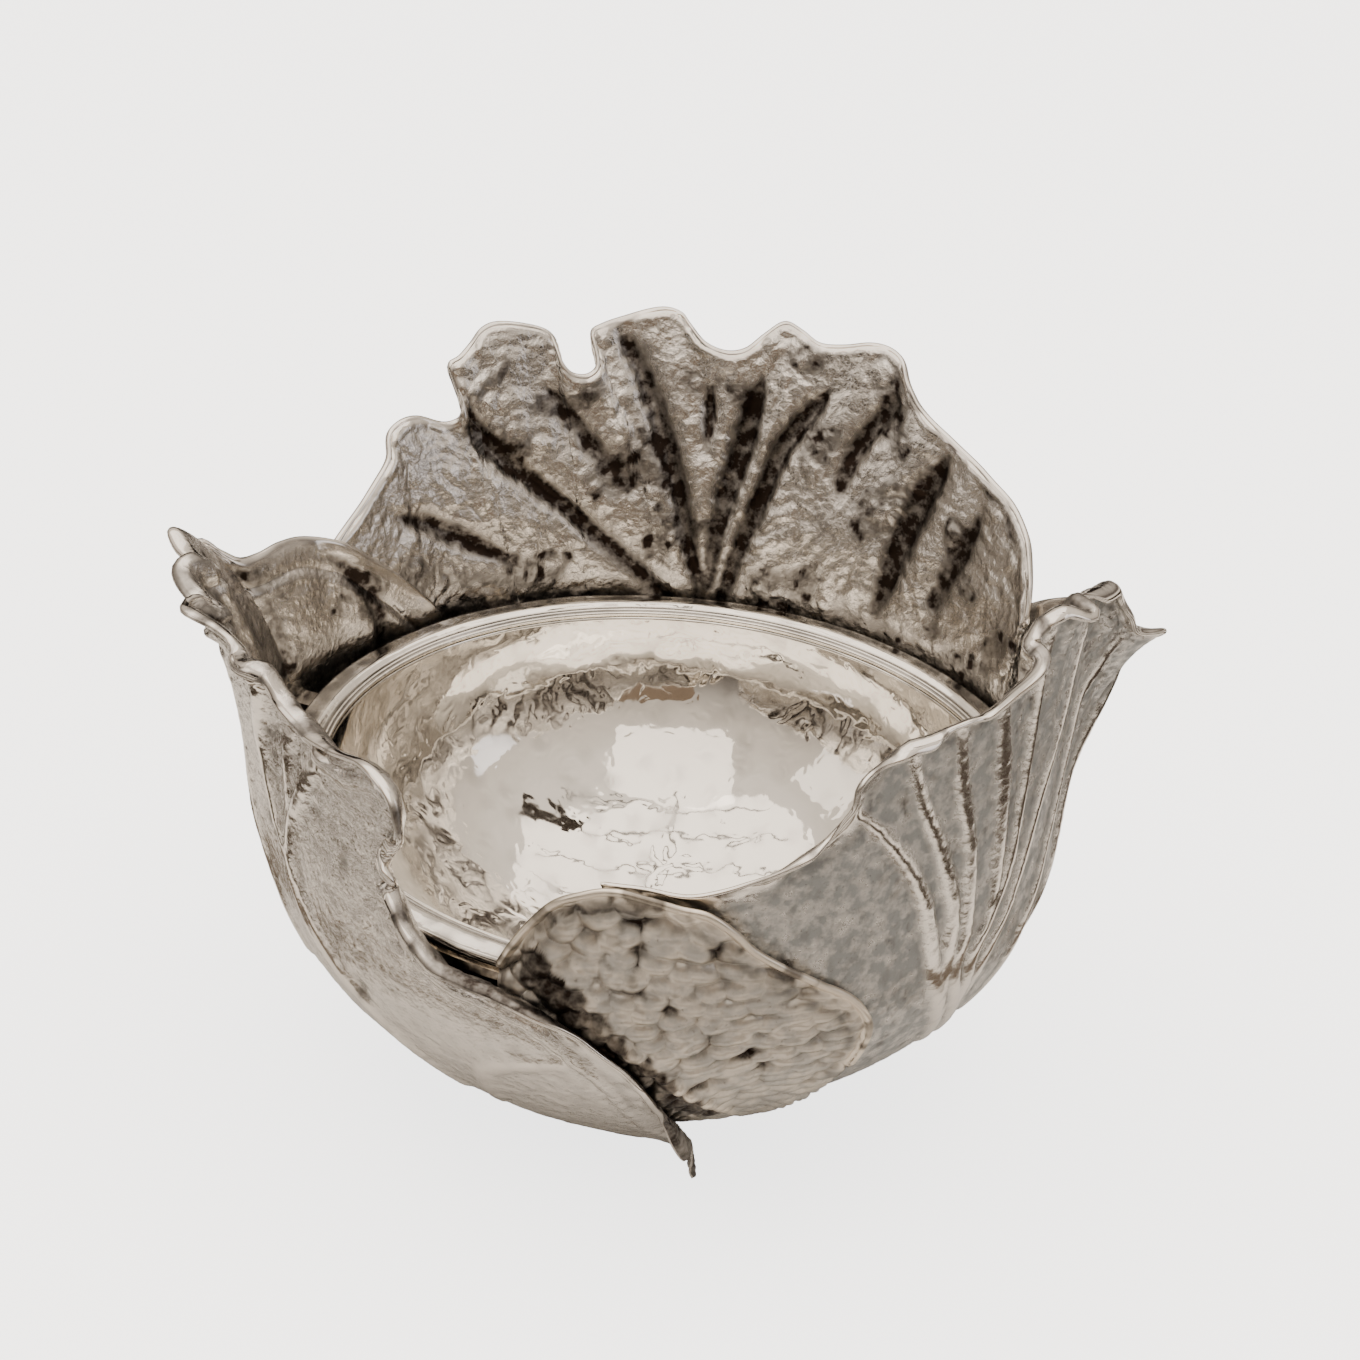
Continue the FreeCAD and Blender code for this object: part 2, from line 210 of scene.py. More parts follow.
def add_node(tree: bpy.types.NodeTree, kind: str, settings: dict[str, Any] | None = None,
             links: dict[str | int, Any] | None = None) -> bpy.types.Node:
    """Add one node to a tree.

    Args:
        tree: tree that the node goes into.
        kind: node type's name without its ShaderNode prefix.
        settings: node properties by name.
        links: inputs by name or number, each a socket to link from or a plain value.

    Returns:
        The new node.
    """
    node = tree.nodes.new("ShaderNode" + kind)
    for name, value in (settings or {}).items():
        setattr(node, name, value)
    for name, value in (links or {}).items():
        if isinstance(value, bpy.types.NodeSocket):
            tree.links.new(value, node.inputs[name])
        else:
            node.inputs[name].default_value = value
    return node


def maths(tree: bpy.types.NodeTree, operation: str, first: Any, second: Any,
          clamp: bool = False) -> bpy.types.NodeSocket:
    """Result of one sum on two sockets or values, held between 0 and 1 if clamp is true."""
    return add_node(tree, "Math", {"operation": operation, "use_clamp": clamp}, {
        0: first, 1: second}).outputs[0]


def blend(tree: bpy.types.NodeTree, share: Any, first: Any, second: Any) -> bpy.types.NodeSocket:
    """Colour between two colours, by a share from 0 to 1."""
    return add_node(tree, "Mix", {"data_type": "RGBA"}, {"Factor": share, 6: first, 7: second}).outputs[2]


@dataclass(frozen=True)
class Span:
    """A range of values, from start to end, and the range from low to high that it becomes."""

    start: float
    end: float
    low: float
    high: float
    kind: str = "SMOOTHSTEP"

    def carry(self, tree: bpy.types.NodeTree, value: bpy.types.NodeSocket) -> bpy.types.NodeSocket:
        """Socket with the value carried from the first range to the second."""
        return add_node(tree, "MapRange", {"interpolation_type": self.kind}, {
            "Value": value, "From Min": self.start, "From Max": self.end,
            "To Min": self.low, "To Max": self.high}).outputs[0]


class Grain(Enum):
    """Fine surface pattern that a finish adds to its mesh's own relief."""

    CRUMPLED = "crumpled"
    PLANISHED = "planished"
    PLAIN = "plain"


@dataclass(frozen=True)
class SilverFinish:
    """Sterling silver, worked by hand and oxidised with liver of sulphur.

    The polished high places are a warm near-white mirror. Where the brown-black oxide was left
    in the low places the metal is darker and duller; the same dark colour also paints shade and
    dark reflections where a mesh marks them. The matted ground between the ribs is a grey that is
    partly real matting and partly a painted reflection of the blue-grey room.
    """

    name: str
    grain: Grain
    polish: str = "F0EBE4"
    # Grey of the matted ground, partly real matting and partly a painted reflection of the blue-grey room.
    matting_and_reflection: str = "A7AAAB"
    # Dark colour of the oxide, also used for painted shade and painted reflections.
    oxide_shade_and_reflection: str = "2A221D"
    polish_roughness: float = 0.13
    oxide_roughness: float = 0.42
    grain_mm: float = 2.2
    grain_depth_mm: float = 0.38
    wander_share: float = 0.45
    bend_share: float = 1.6
    patches: Span = Span(0.36, 0.64, 0.55, 1.2)
    pits: Span = Span(0.36, 0.08, 0.0, 0.75)
    breaks: Span = Span(0.35, 0.65, 0.75, 1.15, "LINEAR")

    def make(self) -> bpy.types.Material:
        """Build the material.

        Returns:
            A metal whose colour and roughness follow the mesh's attributes: one dark mark for real oxide
            together with painted shade and painted reflections, one grey mark for matting together with a
            painted reflection of the room; broken up by a grain whose scale is this finish's grain_mm.
        """
        material = bpy.data.materials.new(self.name)
        material.use_nodes = True
        tree = material.node_tree
        tree.nodes.clear()
        place = add_node(tree, "TexCoord").outputs["Object"]
        per_metre = 1.0 / (self.grain_mm * MM)
        wander = add_node(tree, "TexNoise", {}, {
            "Vector": place, "Scale": per_metre * self.wander_share, "Detail": 3.0, "Roughness": 0.6})
        spread = add_node(tree, "VectorMath", {"operation": "SCALE"}, {
            0: wander.outputs["Color"], "Scale": self.grain_mm * MM * self.bend_share})
        bent = add_node(tree, "VectorMath", {"operation": "ADD"}, {0: place, 1: spread.outputs[0]})
        height = self.grain_height(tree, bent.outputs[0], place, per_metre)
        # The first attribute is real oxide plus painted shade and painted reflections; the second is grey
        # matting plus a painted reflection of the blue-grey room.
        oxide_shade_and_reflection, matting_and_reflection, calm = [add_node(tree, "Attribute", {"attribute_name": name}).outputs["Fac"]
                              for name in ("oxide_shade_and_reflection", "matting_and_reflection", "calm")]
        lively = maths(tree, "SUBTRACT", 1.0, calm, clamp=True)
        bump = add_node(tree, "Bump", {}, {
            "Strength": lively, "Distance": self.grain_depth_mm * MM, "Height": height})

        patchy = self.patches.carry(tree, wander.outputs["Fac"])
        spots = maths(tree, "MULTIPLY", self.pits.carry(tree, height), patchy)
        stained = maths(tree, "MULTIPLY", maths(tree, "MULTIPLY", spots, lively), self.spot_share())
        deep = maths(tree, "MULTIPLY", oxide_shade_and_reflection, self.breaks.carry(tree, wander.outputs["Fac"]))
        dark = maths(tree, "MAXIMUM", deep, stained, clamp=True)
        ground = maths(tree, "MULTIPLY", matting_and_reflection, patchy, clamp=True)
        base = blend(tree, ground, linear(self.polish), linear(self.matting_and_reflection))
        colour = blend(tree, dark, base, linear(self.oxide_shade_and_reflection))
        dulled = maths(tree, "MAXIMUM", dark, ground)
        roughness = Span(0.0, 1.0, self.polish_roughness, self.oxide_roughness, "LINEAR").carry(tree, dulled)
        shader = add_node(tree, "BsdfPrincipled", {}, {
            "Metallic": 1.0, "Base Color": colour, "Roughness": roughness, "Normal": bump.outputs[0]})
        add_node(tree, "OutputMaterial", {}, {"Surface": shader.outputs[0]})
        return material

    def spot_share(self) -> float:
        """Share of oxide left in the grain's own low places."""
        return {Grain.CRUMPLED: 1.0, Grain.PLANISHED: 0.25, Grain.PLAIN: 0.0}[self.grain]

    def grain_height(self, tree: bpy.types.NodeTree, bent: bpy.types.NodeSocket,
                     place: bpy.types.NodeSocket, per_metre: float) -> bpy.types.NodeSocket:
        """Height pattern of the grain, from 0 to about 1.

        Args:
            tree: material's nodes.
            bent: coordinates that wander, for crumpled metal.
            place: straight coordinates.
            per_metre: grain cells in a metre.

        Returns:
            The socket that holds the height: creased cells for crumpled metal, soft dents for
            planished metal and faint polishing waves for plain metal.
        """
        if self.grain is Grain.CRUMPLED:
            creases = add_node(tree, "TexVoronoi", {"feature": "SMOOTH_F1"}, {
                "Vector": bent, "Scale": per_metre, "Smoothness": 0.25})
            fine = add_node(tree, "TexNoise", {}, {
                "Vector": bent, "Scale": per_metre * 1.7, "Detail": 3.0, "Roughness": 0.65,
                "Distortion": 0.6})
            return add_node(tree, "Mix", {"data_type": "FLOAT"}, {
                "Factor": 0.45, 2: creases.outputs["Distance"], 3: fine.outputs["Fac"]}).outputs[0]
        if self.grain is Grain.PLANISHED:
            dents = add_node(tree, "TexVoronoi", {"feature": "SMOOTH_F1"}, {
                "Vector": place, "Scale": per_metre, "Smoothness": 0.6})
            crackle = add_node(tree, "TexNoise", {"noise_type": "RIDGED_MULTIFRACTAL"}, {
                "Vector": bent, "Scale": per_metre * 2.0, "Detail": 5.0, "Roughness": 0.6})
            return add_node(tree, "Mix", {"data_type": "FLOAT"}, {
                "Factor": 0.38, 2: dents.outputs["Distance"], 3: crackle.outputs["Fac"]}).outputs[0]
        waves = add_node(tree, "TexNoise", {}, {"Vector": place, "Scale": per_metre, "Detail": 2.0})
        return waves.outputs["Fac"]


class Finishes:
    """The bowl's silver finishes, one for each way the metal was worked."""

    def __init__(self) -> None:
        """Make every material once."""
        self.leaf = SilverFinish("chased_oxidised_silver", Grain.CRUMPLED).make()
        self.matted = SilverFinish("punched_silver", Grain.CRUMPLED, polish="F4EADB", polish_roughness=0.28,
                                   grain_mm=3.0, grain_depth_mm=0.07).make()
        self.liner = SilverFinish("planished_silver", Grain.PLANISHED, polish="F2EEE7", polish_roughness=0.05,
                                  oxide_roughness=0.3, grain_mm=9.0, grain_depth_mm=0.22).make()
        self.plain = SilverFinish("buffed_silver", Grain.PLAIN, polish="EFE8DD", polish_roughness=0.12,
                                  oxide_roughness=0.35, grain_mm=12.0, grain_depth_mm=0.08).make()


# ---------------------------------------------------------------- meshes


def grid_faces(rows: int, columns: int, wrap_rows: bool, wrap_columns: bool) -> Array:
    """Corner numbers of a grid's four-sided faces.

    Args:
        rows: number of rows of points.
        columns: number of points in a row.
        wrap_rows: join the last row to the first.
        wrap_columns: join the last column to the first.

    Returns:
        Four point numbers for each face.
    """
    row = np.arange(rows if wrap_rows else rows - 1)[:, None]
    column = np.arange(columns if wrap_columns else columns - 1)[None, :]
    next_row, next_column = (row + 1) % rows, (column + 1) % columns
    corners = [row * columns + column, next_row * columns + column,
               next_row * columns + next_column, row * columns + next_column]
    return np.stack([np.broadcast_to(c, (row.size, column.size)) for c in corners], -1).reshape(-1, 4)


def add_object(name: str, data: bpy.types.ID) -> bpy.types.Object:
    """Put a new object in the scene.

    Args:
        name: object's name.
        data: its mesh, light or camera.

    Returns:
        The new object.
    """
    thing = bpy.data.objects.new(name, data)
    bpy.context.scene.collection.objects.link(thing)
    return thing


def put_in(name: str, points: Array, faces: list[Array], attributes: dict[str, Array],
           material: bpy.types.Material, body: str, nodes: tuple[str, ...]) -> bpy.types.Object:
    """Make one piece from arrays and tie it to the frame.

    Args:
        name: piece's name.
        points: vertices in millimetres.
        faces: arrays of corner numbers, each with one face size.
        attributes: values for each vertex by name.
        material: piece's finish.
        body: CAD body that it rides on.
        nodes: CAD nodes that it stands for.

    Returns:
        The new object.
    """
    mesh = bpy.data.meshes.new(name)
    sizes = np.concatenate([np.full(len(part), part.shape[1]) for part in faces])
    corners = np.concatenate([part.ravel() for part in faces])
    mesh.vertices.add(len(points))
    mesh.vertices.foreach_set("co", (points * MM).astype(np.float32).ravel())
    mesh.loops.add(len(corners))
    mesh.loops.foreach_set("vertex_index", corners.astype(np.int32))
    mesh.polygons.add(len(sizes))
    mesh.polygons.foreach_set("loop_start", np.concatenate([[0], np.cumsum(sizes)[:-1]]).astype(np.int32))
    mesh.polygons.foreach_set("loop_total", sizes.astype(np.int32))
    mesh.polygons.foreach_set("use_smooth", np.ones(len(sizes), bool))
    for label, values in attributes.items():
        layer = mesh.attributes.new(label, "FLOAT", "POINT")
        layer.data.foreach_set("value", np.clip(values, 0, 1).astype(np.float32).ravel())
    mesh.update(calc_edges=True)
    mesh.validate()
    mesh.materials.append(material)
    piece = add_object(name, mesh)
    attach(piece, body)
    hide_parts(*nodes)
    LOG.info("%s: %d triangles", name, int((sizes - 2).sum()))
    return piece


# ---------------------------------------------------------------- leaves


@dataclass(frozen=True)
class Places:
    """Places of a smooth leaf's grid.

    They are given by their points, azimuths, runs, wall radii, which turn degrees into
    millimetres, and distances from the free edge.
    """

    points: Array
    azimuth: Array
    run: Array
    radius: Array
    to_edge: Array


@dataclass(frozen=True)
class Relief:
    """Chased relief of a leaf's places.

    Height is measured outwards. Crest and wide say how near a place is to a rib's line, on a
    narrow and a wide measure; low says how low it lies in the worked ground. All three go from
    0 to 1.
    """

    height: Array
    crest: Array
    wide: Array
    low: Array


class Pattern(Enum):
    """What each noise pattern of a leaf is for, with its step from the leaf's own seed."""

    RAGGED_RIBS = 0
    BLOWS = 5
    CREASES = 11
    FINE_CREASES = 23
    BENT_BUMPS = 29
    BROAD_SWELL = 37
    RUFFLES = 51
    CURL_TWIST = 61
    OXIDE_PATCHES = 71
    OXIDE_SPECKS = 83
    # Ragged edges of the painted shade and painted reflection patches
    PAINTED_PATCH_EDGES = 97
    STREAKS = 101
    FINE_STREAKS = 103


@dataclass(frozen=True)
class Rib:
    """One chased rib of a leaf: raised outside, a groove inside.

    Its rows are (azimuth, run, half width, height), from the edge down to the base.
    """

    rows: Knots
    ragged: float = 0.5

    def line(self, steps: int = 7) -> Array:
        """Rows along the smooth line of the rib.

        Args:
            steps: rows for each given row.

        Returns:
            Azimuth, run, half width and height along a Catmull-Rom curve through the given rows.
        """
        rows = np.asarray(self.rows, float)
        places = np.arange(len(rows), dtype=float)
        return through(rows, places, np.linspace(0, places[-1], steps * (len(rows) - 1) + 1))

    def near(self, at: Places) -> tuple[Array, Array, Array, Array]:
        """Distance of places from the rib.

        Args:
            at: places of the leaf.

        Returns:
            Distance to the nearest straight piece of the line, the side of it that the place
            is on (-1 or 1), and the rib's half width and height there.
        """
        rows = self.line()
        best = np.full(at.azimuth.shape, FAR)
        side, width, height = np.zeros_like(best), np.ones_like(best), np.zeros_like(best)
        scale = np.radians(1.0) * at.radius
        for start, end in zip(rows, rows[1:]):
            ax, ay = (start[0] - at.azimuth) * scale, start[1] - at.run
            bx, by = (end[0] - at.azimuth) * scale, end[1] - at.run
            dx, dy = bx - ax, by - ay
            t = np.clip(-(ax * dx + ay * dy) / (dx * dx + dy * dy + TINY), 0, 1)
            distance = np.hypot(ax + dx * t, ay + dy * t)
            closer = distance < best
            best = np.where(closer, distance, best)
            side = np.where(closer, np.sign(ax * dy - ay * dx), side)
            width = np.where(closer, start[2] + (end[2] - start[2]) * t, width)
            height = np.where(closer, start[3] + (end[3] - start[3]) * t, height)
        return best, side, width, height


@dataclass(frozen=True)
class Ground:
    """How the metal between a leaf's ribs was worked.

    Heights and sizes are in millimetres. Bumps turn long from the azimuth where long_bumps
    starts to the one where it ends.
    """

    crumple: float = 0.55
    crumple_size: float = 6.5
    bumps: float = 0.0
    bump_size: float = 6.0
    long_bumps: tuple[float, float] = (268.0, 290.0)
    puff: float = 0.8
    ruffle: float = 0.8
    curl_radius: float = 2.0
    curl_turn: float = 60.0
    border: float = 0.0
    border_inset: float = 4.0
    # Weight of the grey ground colour between the ribs: matting plus a painted reflection of the blue-grey
    # room.
    matting_and_reflection: float = 0.0
    stain: float = 0.3
    smooth_lip: float = 4.0


# Spacing of the noise patterns shared by all leaves, in millimetres
RAGGED_SIZE = 2.6
BROAD_SIZE = 22.0
BENT_SIZE = 12.0
RUFFLE_SIZE = 11.0
TWIST_SIZE = 22.0
PATCH_SIZE = 15.0
SPECK_SIZE = 3.4
# Ragged edges of the painted shade and painted reflection patches
PAINTED_PATCH_EDGE_SIZE = 3.0
STREAK_SIZE = 11.0
FINE_STREAK_SIZE = 3.6

# Reach of a rib's height, crest and surroundings, as shares of its half width
RIB_REACH = 1.3
CREST_REACH = 1.2
WIDE_REACH = 2.2
SMOOTH_SIDE = -0.2

# Creases: how sharp they are, how much finer and weaker the second set is, and their mean
CREASE_SHARPNESS = 2.2
FINE_CREASE_SIZE = 0.48
FINE_CREASE_SHARE = 0.6
CREASE_MEAN = 0.6

# Distances from the free edge or along the run where a relief fades, in millimetres
LIP_FADE = 0.6
PUFF_REACH = 8.0
PUFF_RUN = (2.0, 26.0)
RUFFLE_FADE = (0.5, 12.0)
RIB_FADE = (0.0, 7.0)
CURL_FADE = (0.0, 9.0)
EDGE_SHEET_FADE = (0.5, 4.0)
BORDER_WIDTH = 1.3
BORDER_GROOVE_WIDTH = 1.2
BORDER_GROOVE_INSET = 2.8
SETTLED_RADIUS = 70.0
LINER_TOUCH_HEIGHT = 84.0

# Share of the sheet's thickness at its two side edges and in the rows beside them
END_ROW_SHARE = 0.6
NEXT_ROW_SHARE = 0.9


@dataclass
class Leaf:
    """One raised leaf: a bent sheet that fans out from the base cup to its ruffled edge.

    Outline rows are (azimuth, run, extra stand-off, lip); base rows are (share of the edge,
    azimuth, radius, extra stand-off).
    """

    node: str
    lean: Knots
    standoff: Knots
    fullness: float
    outline: Knots
    base: Knots
    ribs: tuple[Rib, ...]
    ground: Ground
    seed: int
    curl: Knots = ((0.0, 1.0), (360.0, 1.0))
    # Patches of painted shade and painted reflection, as Rib rows of (azimuth, run, half width, strength).
    painted_shade_and_reflections: tuple[Rib, ...] = ()
    edge_steps: int = 270
    rise_steps: int = 165
    wall_radius: float = 116.2
    wall_depth: float = 88.0
    rim_height: float = 96.0
    lean_start: float = 18.0
    base_standoff: float = 2.0
    cup_radius: float = 46.0
    fan_run: float = 24.0
    base_fade: float = 1.5
    lip_sharpness: float = 12.0
    lip_drop: float = 0.45
    lip_start: float = 40.0
    sheet: float = 1.5
    edge_sheet: float = 2.3
    edge_rows: int = 6
    rise_crowding: float = 1.3
    liner_clearance: float = 114.7

    def run_at_radius(self, radius: Array) -> Array:
        """Run of the place below the rim line where the wall has this radius."""
        return self.wall_radius * (np.arcsin(radius / self.wall_radius) - np.pi / 2)

    def wall(self, run: Array, lean: Array) -> tuple[Array, Array, Array, Array]:
        """The leaf wall's section.

        Args:
            run: runs of the places, from the rim line.
            lean: outward slope of the wall at each, well above the rim line.

        Returns:
            Radius, height and the outward normal's radial and upward parts. Below the rim line
            the wall is an ellipsoid whose angle from its pole is a quarter turn plus run /
            radius; above it, the radius grows by lean * (run - start * (1 - e^(-run / start))).
        """
        angle = np.pi / 2 + np.minimum(run, 0) / self.wall_radius
        fade = np.exp(-np.maximum(run, 0) / self.lean_start)
        below = run <= 0
        radius = np.where(below, self.wall_radius * np.sin(angle),
                          self.wall_radius + lean * (run - self.lean_start * (1 - fade)))
        height = np.where(below, self.rim_height - self.wall_depth * np.cos(angle), self.rim_height + run)
        out = np.where(below, np.sin(angle) / self.wall_radius, 1.0)
        up = np.where(below, -np.cos(angle) / self.wall_depth, -lean * (1 - fade))
        size = np.hypot(out, up)
        return radius, height, out / size, up / size

    def middle(self, share: Array, rise: Array) -> tuple[Array, Array, Array, Array]:
        """The sheet's middle surface.

        Args:
            share: shares along the edge.
            rise: shares from the base, 0, to the edge, 1, for each share along the edge.

        Returns:
            Points, azimuths, runs and wall radii. Azimuth and run go straight from base to
            edge; the stand-off eases from the base cup's to the leaf's own, then adds the
            edge's extra * rise^fullness and its lip * rise^sharpness.
        """
        rows = np.asarray(self.outline, float)
        steps = np.sqrt(np.hypot(2 * np.diff(rows[:, 0]), np.diff(rows[:, 1])))
        places = np.concatenate([[0], np.cumsum(steps)])
        edge_azimuth, edge_run, extra, lip = through(rows, places / places[-1], share).T[:, :, None]
        base = np.asarray(self.base, float)
        base_azimuth, base_radius, base_extra = [
            np.interp(share, base[:, 0], base[:, column])[:, None] for column in (1, 2, 3)]
        base_run = self.run_at_radius(base_radius)
        azimuth = base_azimuth + (edge_azimuth - base_azimuth) * rise
        run = base_run + (edge_run - base_run) * rise
        lip_share = np.clip((edge_run + self.lip_start) / self.lip_start, 0, 1)
        run = run + self.lip_drop * lip * (rise - rise**self.lip_sharpness) * lip_share
        radius, height, out, up = self.wall(run, ease(azimuth, self.lean))
        fan = ease(run - self.run_at_radius(self.cup_radius), ((0, 0), (self.fan_run, 1)))
        standoff = self.base_standoff + (ease(azimuth, self.standoff) - self.base_standoff) * fan
        standoff = standoff + base_extra * (1 - rise)**self.base_fade
        standoff = standoff + extra * rise**self.fullness + lip * rise**self.lip_sharpness
        turn = np.radians(azimuth)
        reach = radius + out * standoff
        points = np.stack([reach * np.cos(turn), reach * np.sin(turn), height + up * standoff], -1)
        return points, azimuth, run, radius

    def noise(self, points: Array, size: float, pattern: Pattern) -> Array:
        """Gradient noise of one of the leaf's patterns."""
        return swell(points, size, self.seed + pattern.value)

    def outward(self, points: Array) -> Array:
        """Outward unit normals of a grid of points.

        Args:
            points: rows along the edge, columns from base to edge.

        Returns:
            The cross product of the differences along the grid's two ways, turned outwards.
        """
        normal = np.cross(np.gradient(points, axis=0), np.gradient(points, axis=1))
        normal /= np.linalg.norm(normal, axis=-1, keepdims=True) + TINY
        return normal * (1.0 if self.outline[-1][0] > self.outline[0][0] else -1.0)

    def edge_distance(self, points: Array, reach: float = 16.0, batch: int = 4000) -> Array:
        """Distance of a leaf's places from its free edge.

        Args:
            points: rows along the edge, columns from base to edge.
            reach: distance at which farther places are held.
            batch: places that are compared with the edge at once.

        Returns:
            Straight distance to the nearest point of the edge, at most the reach.
        """
        steps = np.linalg.norm(np.diff(points, axis=1), axis=-1)
        along = np.cumsum(steps[:, ::-1], axis=1)[:, ::-1]
        along = np.concatenate([along, np.zeros((len(points), 1))], axis=1)
        distance = np.minimum(along, reach)
        near = along < reach * 2
        places = points[near]
        edge = points[:, -1]
        best = np.full(len(places), reach)
        for start in range(0, len(places), batch):
            gaps = np.linalg.norm(places[start:start + batch, None] - edge[None], axis=-1)
            best[start:start + batch] = np.minimum(reach, gaps.min(1))
        distance[near] = best
        return distance

    def creases(self, points: Array, size: float, pattern: Pattern) -> Array:
        """Creased noise: 1 along its creases and lower to both sides of them."""
        return 1 - CREASE_SHARPNESS * np.abs(self.noise(points, size, pattern))

    def bumped(self, at: Places) -> tuple[Array, Array]:
        """Round bumps punched from inside, long and flatter at one end of the leaf.

        Args:
            at: places of the leaf.

        Returns:
            Height, a dome of 1 - 1.7 d^2 at a distance d from each blow, and how low each place
            lies between the domes (0 to 1).
        """
        ground = self.ground
        long_way = smooth(at.azimuth, *ground.long_bumps)
        across = np.radians(at.azimuth - at.azimuth.mean()) * at.radius
        flat = np.stack([across * (1 - 0.1 * long_way), at.run * (1 + 0.6 * long_way)], -1)
        bend = self.noise(at.points, BENT_SIZE, Pattern.BENT_BUMPS)[..., None]
        nearest = hammered(flat + 1.5 * bend, ground.bump_size, self.seed + Pattern.BLOWS.value)
        height = ground.bumps * (1 - 1.7 * nearest**2) * (1 - 0.35 * long_way)
        return height, smooth(nearest, 0.45, 0.75)

    def relief(self, at: Places) -> Relief:
        """Chased relief of the leaf.

        Args:
            at: places of the leaf.

        Returns:
            The relief. Ribs are bells of their width and height; the panels between them puff
            inwards; the ground adds creased noise, rounded bumps, edge ruffles and a border.
        """
        ground = self.ground
        rag = self.noise(at.points, RAGGED_SIZE, Pattern.RAGGED_RIBS)
        crest, wide, rib_height = [np.zeros_like(at.run) for _ in range(3)]
        closest = np.full_like(at.run, FAR)
        for rib in self.ribs:
            distance, side, width, height = rib.near(at)
            ragged = np.maximum(distance + rib.ragged * np.maximum(side, SMOOTH_SIDE) * rag * width, 0)
            shown = np.minimum(height, 1)
            rib_height = np.maximum(rib_height, height * bell(ragged, RIB_REACH * width, 3))
            crest = np.maximum(crest, bell(0.5 * (ragged + distance), CREST_REACH * width, 3) * shown)
            wide = np.maximum(wide, bell(distance, WIDE_REACH * width) * shown)
            closest = np.minimum(closest, distance)
        creases = self.creases(at.points, ground.crumple_size, Pattern.CREASES)
        fine_size = ground.crumple_size * FINE_CREASE_SIZE
        creases += FINE_CREASE_SHARE * self.creases(at.points, fine_size, Pattern.FINE_CREASES)
        broad = self.noise(at.points, BROAD_SIZE, Pattern.BROAD_SWELL)
        height = ground.crumple * (creases - CREASE_MEAN) * (0.75 + 0.5 * broad) * (1 - 0.8 * crest)
        low = smooth(-creases, -0.9, 0.7)
        if ground.bumps:
            bumps, low = self.bumped(at)
            height += bumps
        height -= ground.puff * (1 - bell(closest, PUFF_REACH)) * smooth(at.run, *PUFF_RUN)
        height *= smooth(at.to_edge, LIP_FADE, ground.smooth_lip)
        wave = self.noise(at.points * np.array([1.0, 1.0, 0.4]), RUFFLE_SIZE, Pattern.RUFFLES)
        height += ground.ruffle * wave * (1 - smooth(at.to_edge, *RUFFLE_FADE))
        from_border = at.to_edge - (ground.border_inset + 0.8 * broad)
        height += ground.border * bell(from_border, BORDER_WIDTH)
        height -= 0.5 * ground.border * bell(from_border - BORDER_GROOVE_INSET, BORDER_GROOVE_WIDTH)
        height += rib_height * smooth(at.to_edge, *RIB_FADE)
        settled = smooth(at.run, self.run_at_radius(self.cup_radius), self.run_at_radius(SETTLED_RADIUS))
        return Relief(height * settled, crest * settled, wide * settled, low)

    def curled(self, points: Array, normal: Array, at: Places) -> Array:
        """Roll the free edge outwards, tightly in some places and loosely in others.

        Args:
            points: the chased leaf at its places.
            normal: outward normals of the smooth leaf.
            at: places of the leaf.

        Returns:
            The rolled points. The roll is an arc of the ground's curl radius; the sheet below it
            is drawn up by what the roll takes, so that its top stays at the outline.
        """
        share = ease(at.azimuth, self.curl)
        radius = self.ground.curl_radius * (0.6 + 0.4 * share)
        twist = self.noise(points * np.array([1.0, 1.0, 0.3]), TWIST_SIZE, Pattern.CURL_TWIST)
        turn = np.radians(self.ground.curl_turn) * share * (0.45 + 0.55 * smooth(twist, -0.4, 0.35))
        reach = radius * turn
        into = np.maximum(reach - at.to_edge, 0)
        taken = reach - radius * np.sin(np.minimum(turn, np.pi / 2))
        along = radius * np.sin(into / radius) - into + taken * (1 - smooth(at.to_edge - reach, *CURL_FADE))
        way = np.gradient(points, axis=1)
        way /= np.linalg.norm(way, axis=-1, keepdims=True) + TINY
        return points + normal * (radius * (1 - np.cos(into / radius)))[..., None] + way * along[..., None]

    def build(self, finish: bpy.types.Material) -> bpy.types.Object:
        """Make the leaf: outer skin, rounded edge and inner skin as one closed sheet.

        Args:
            finish: leaf's material.

        Returns:
            The leaf, riding on the stand in place of its CAD node.
        """
        share = np.linspace(0, 1, self.edge_steps + 1)
        along = np.linspace(0, 1, self.rise_steps + 1)
        rise = 1 - (1 - along)**self.rise_crowding
        points = self.middle(share, rise[None, :])[0]
        length = np.linalg.norm(np.diff(points, axis=1), axis=-1).sum(1)
        rise = rise[None, :] * (1 - 0.5 * self.edge_sheet / length[:, None])
        points, azimuth, run, radius = self.middle(share, rise)
        normal = self.outward(points)
        at = Places(points, azimuth, run, radius, self.edge_distance(points))
        worked = self.relief(at)
        thicker = (self.edge_sheet - self.sheet) * (1 - smooth(at.to_edge, *EDGE_SHEET_FADE))
        half = 0.5 * (self.sheet + thicker)
        half[[0, -1]] *= END_ROW_SHARE
        half[[1, -2]] *= NEXT_ROW_SHARE
        reach = np.hypot(points[..., 0], points[..., 1])
        reach += worked.height * np.hypot(normal[..., 0], normal[..., 1])
        short = np.maximum(self.liner_clearance + half - reach, 0)
        height = worked.height + np.where(points[..., 2] > LINER_TOUCH_HEIGHT, short, 0)
        centre = self.curled(points + normal * height[..., None], normal, at)
        normal = self.outward(centre)
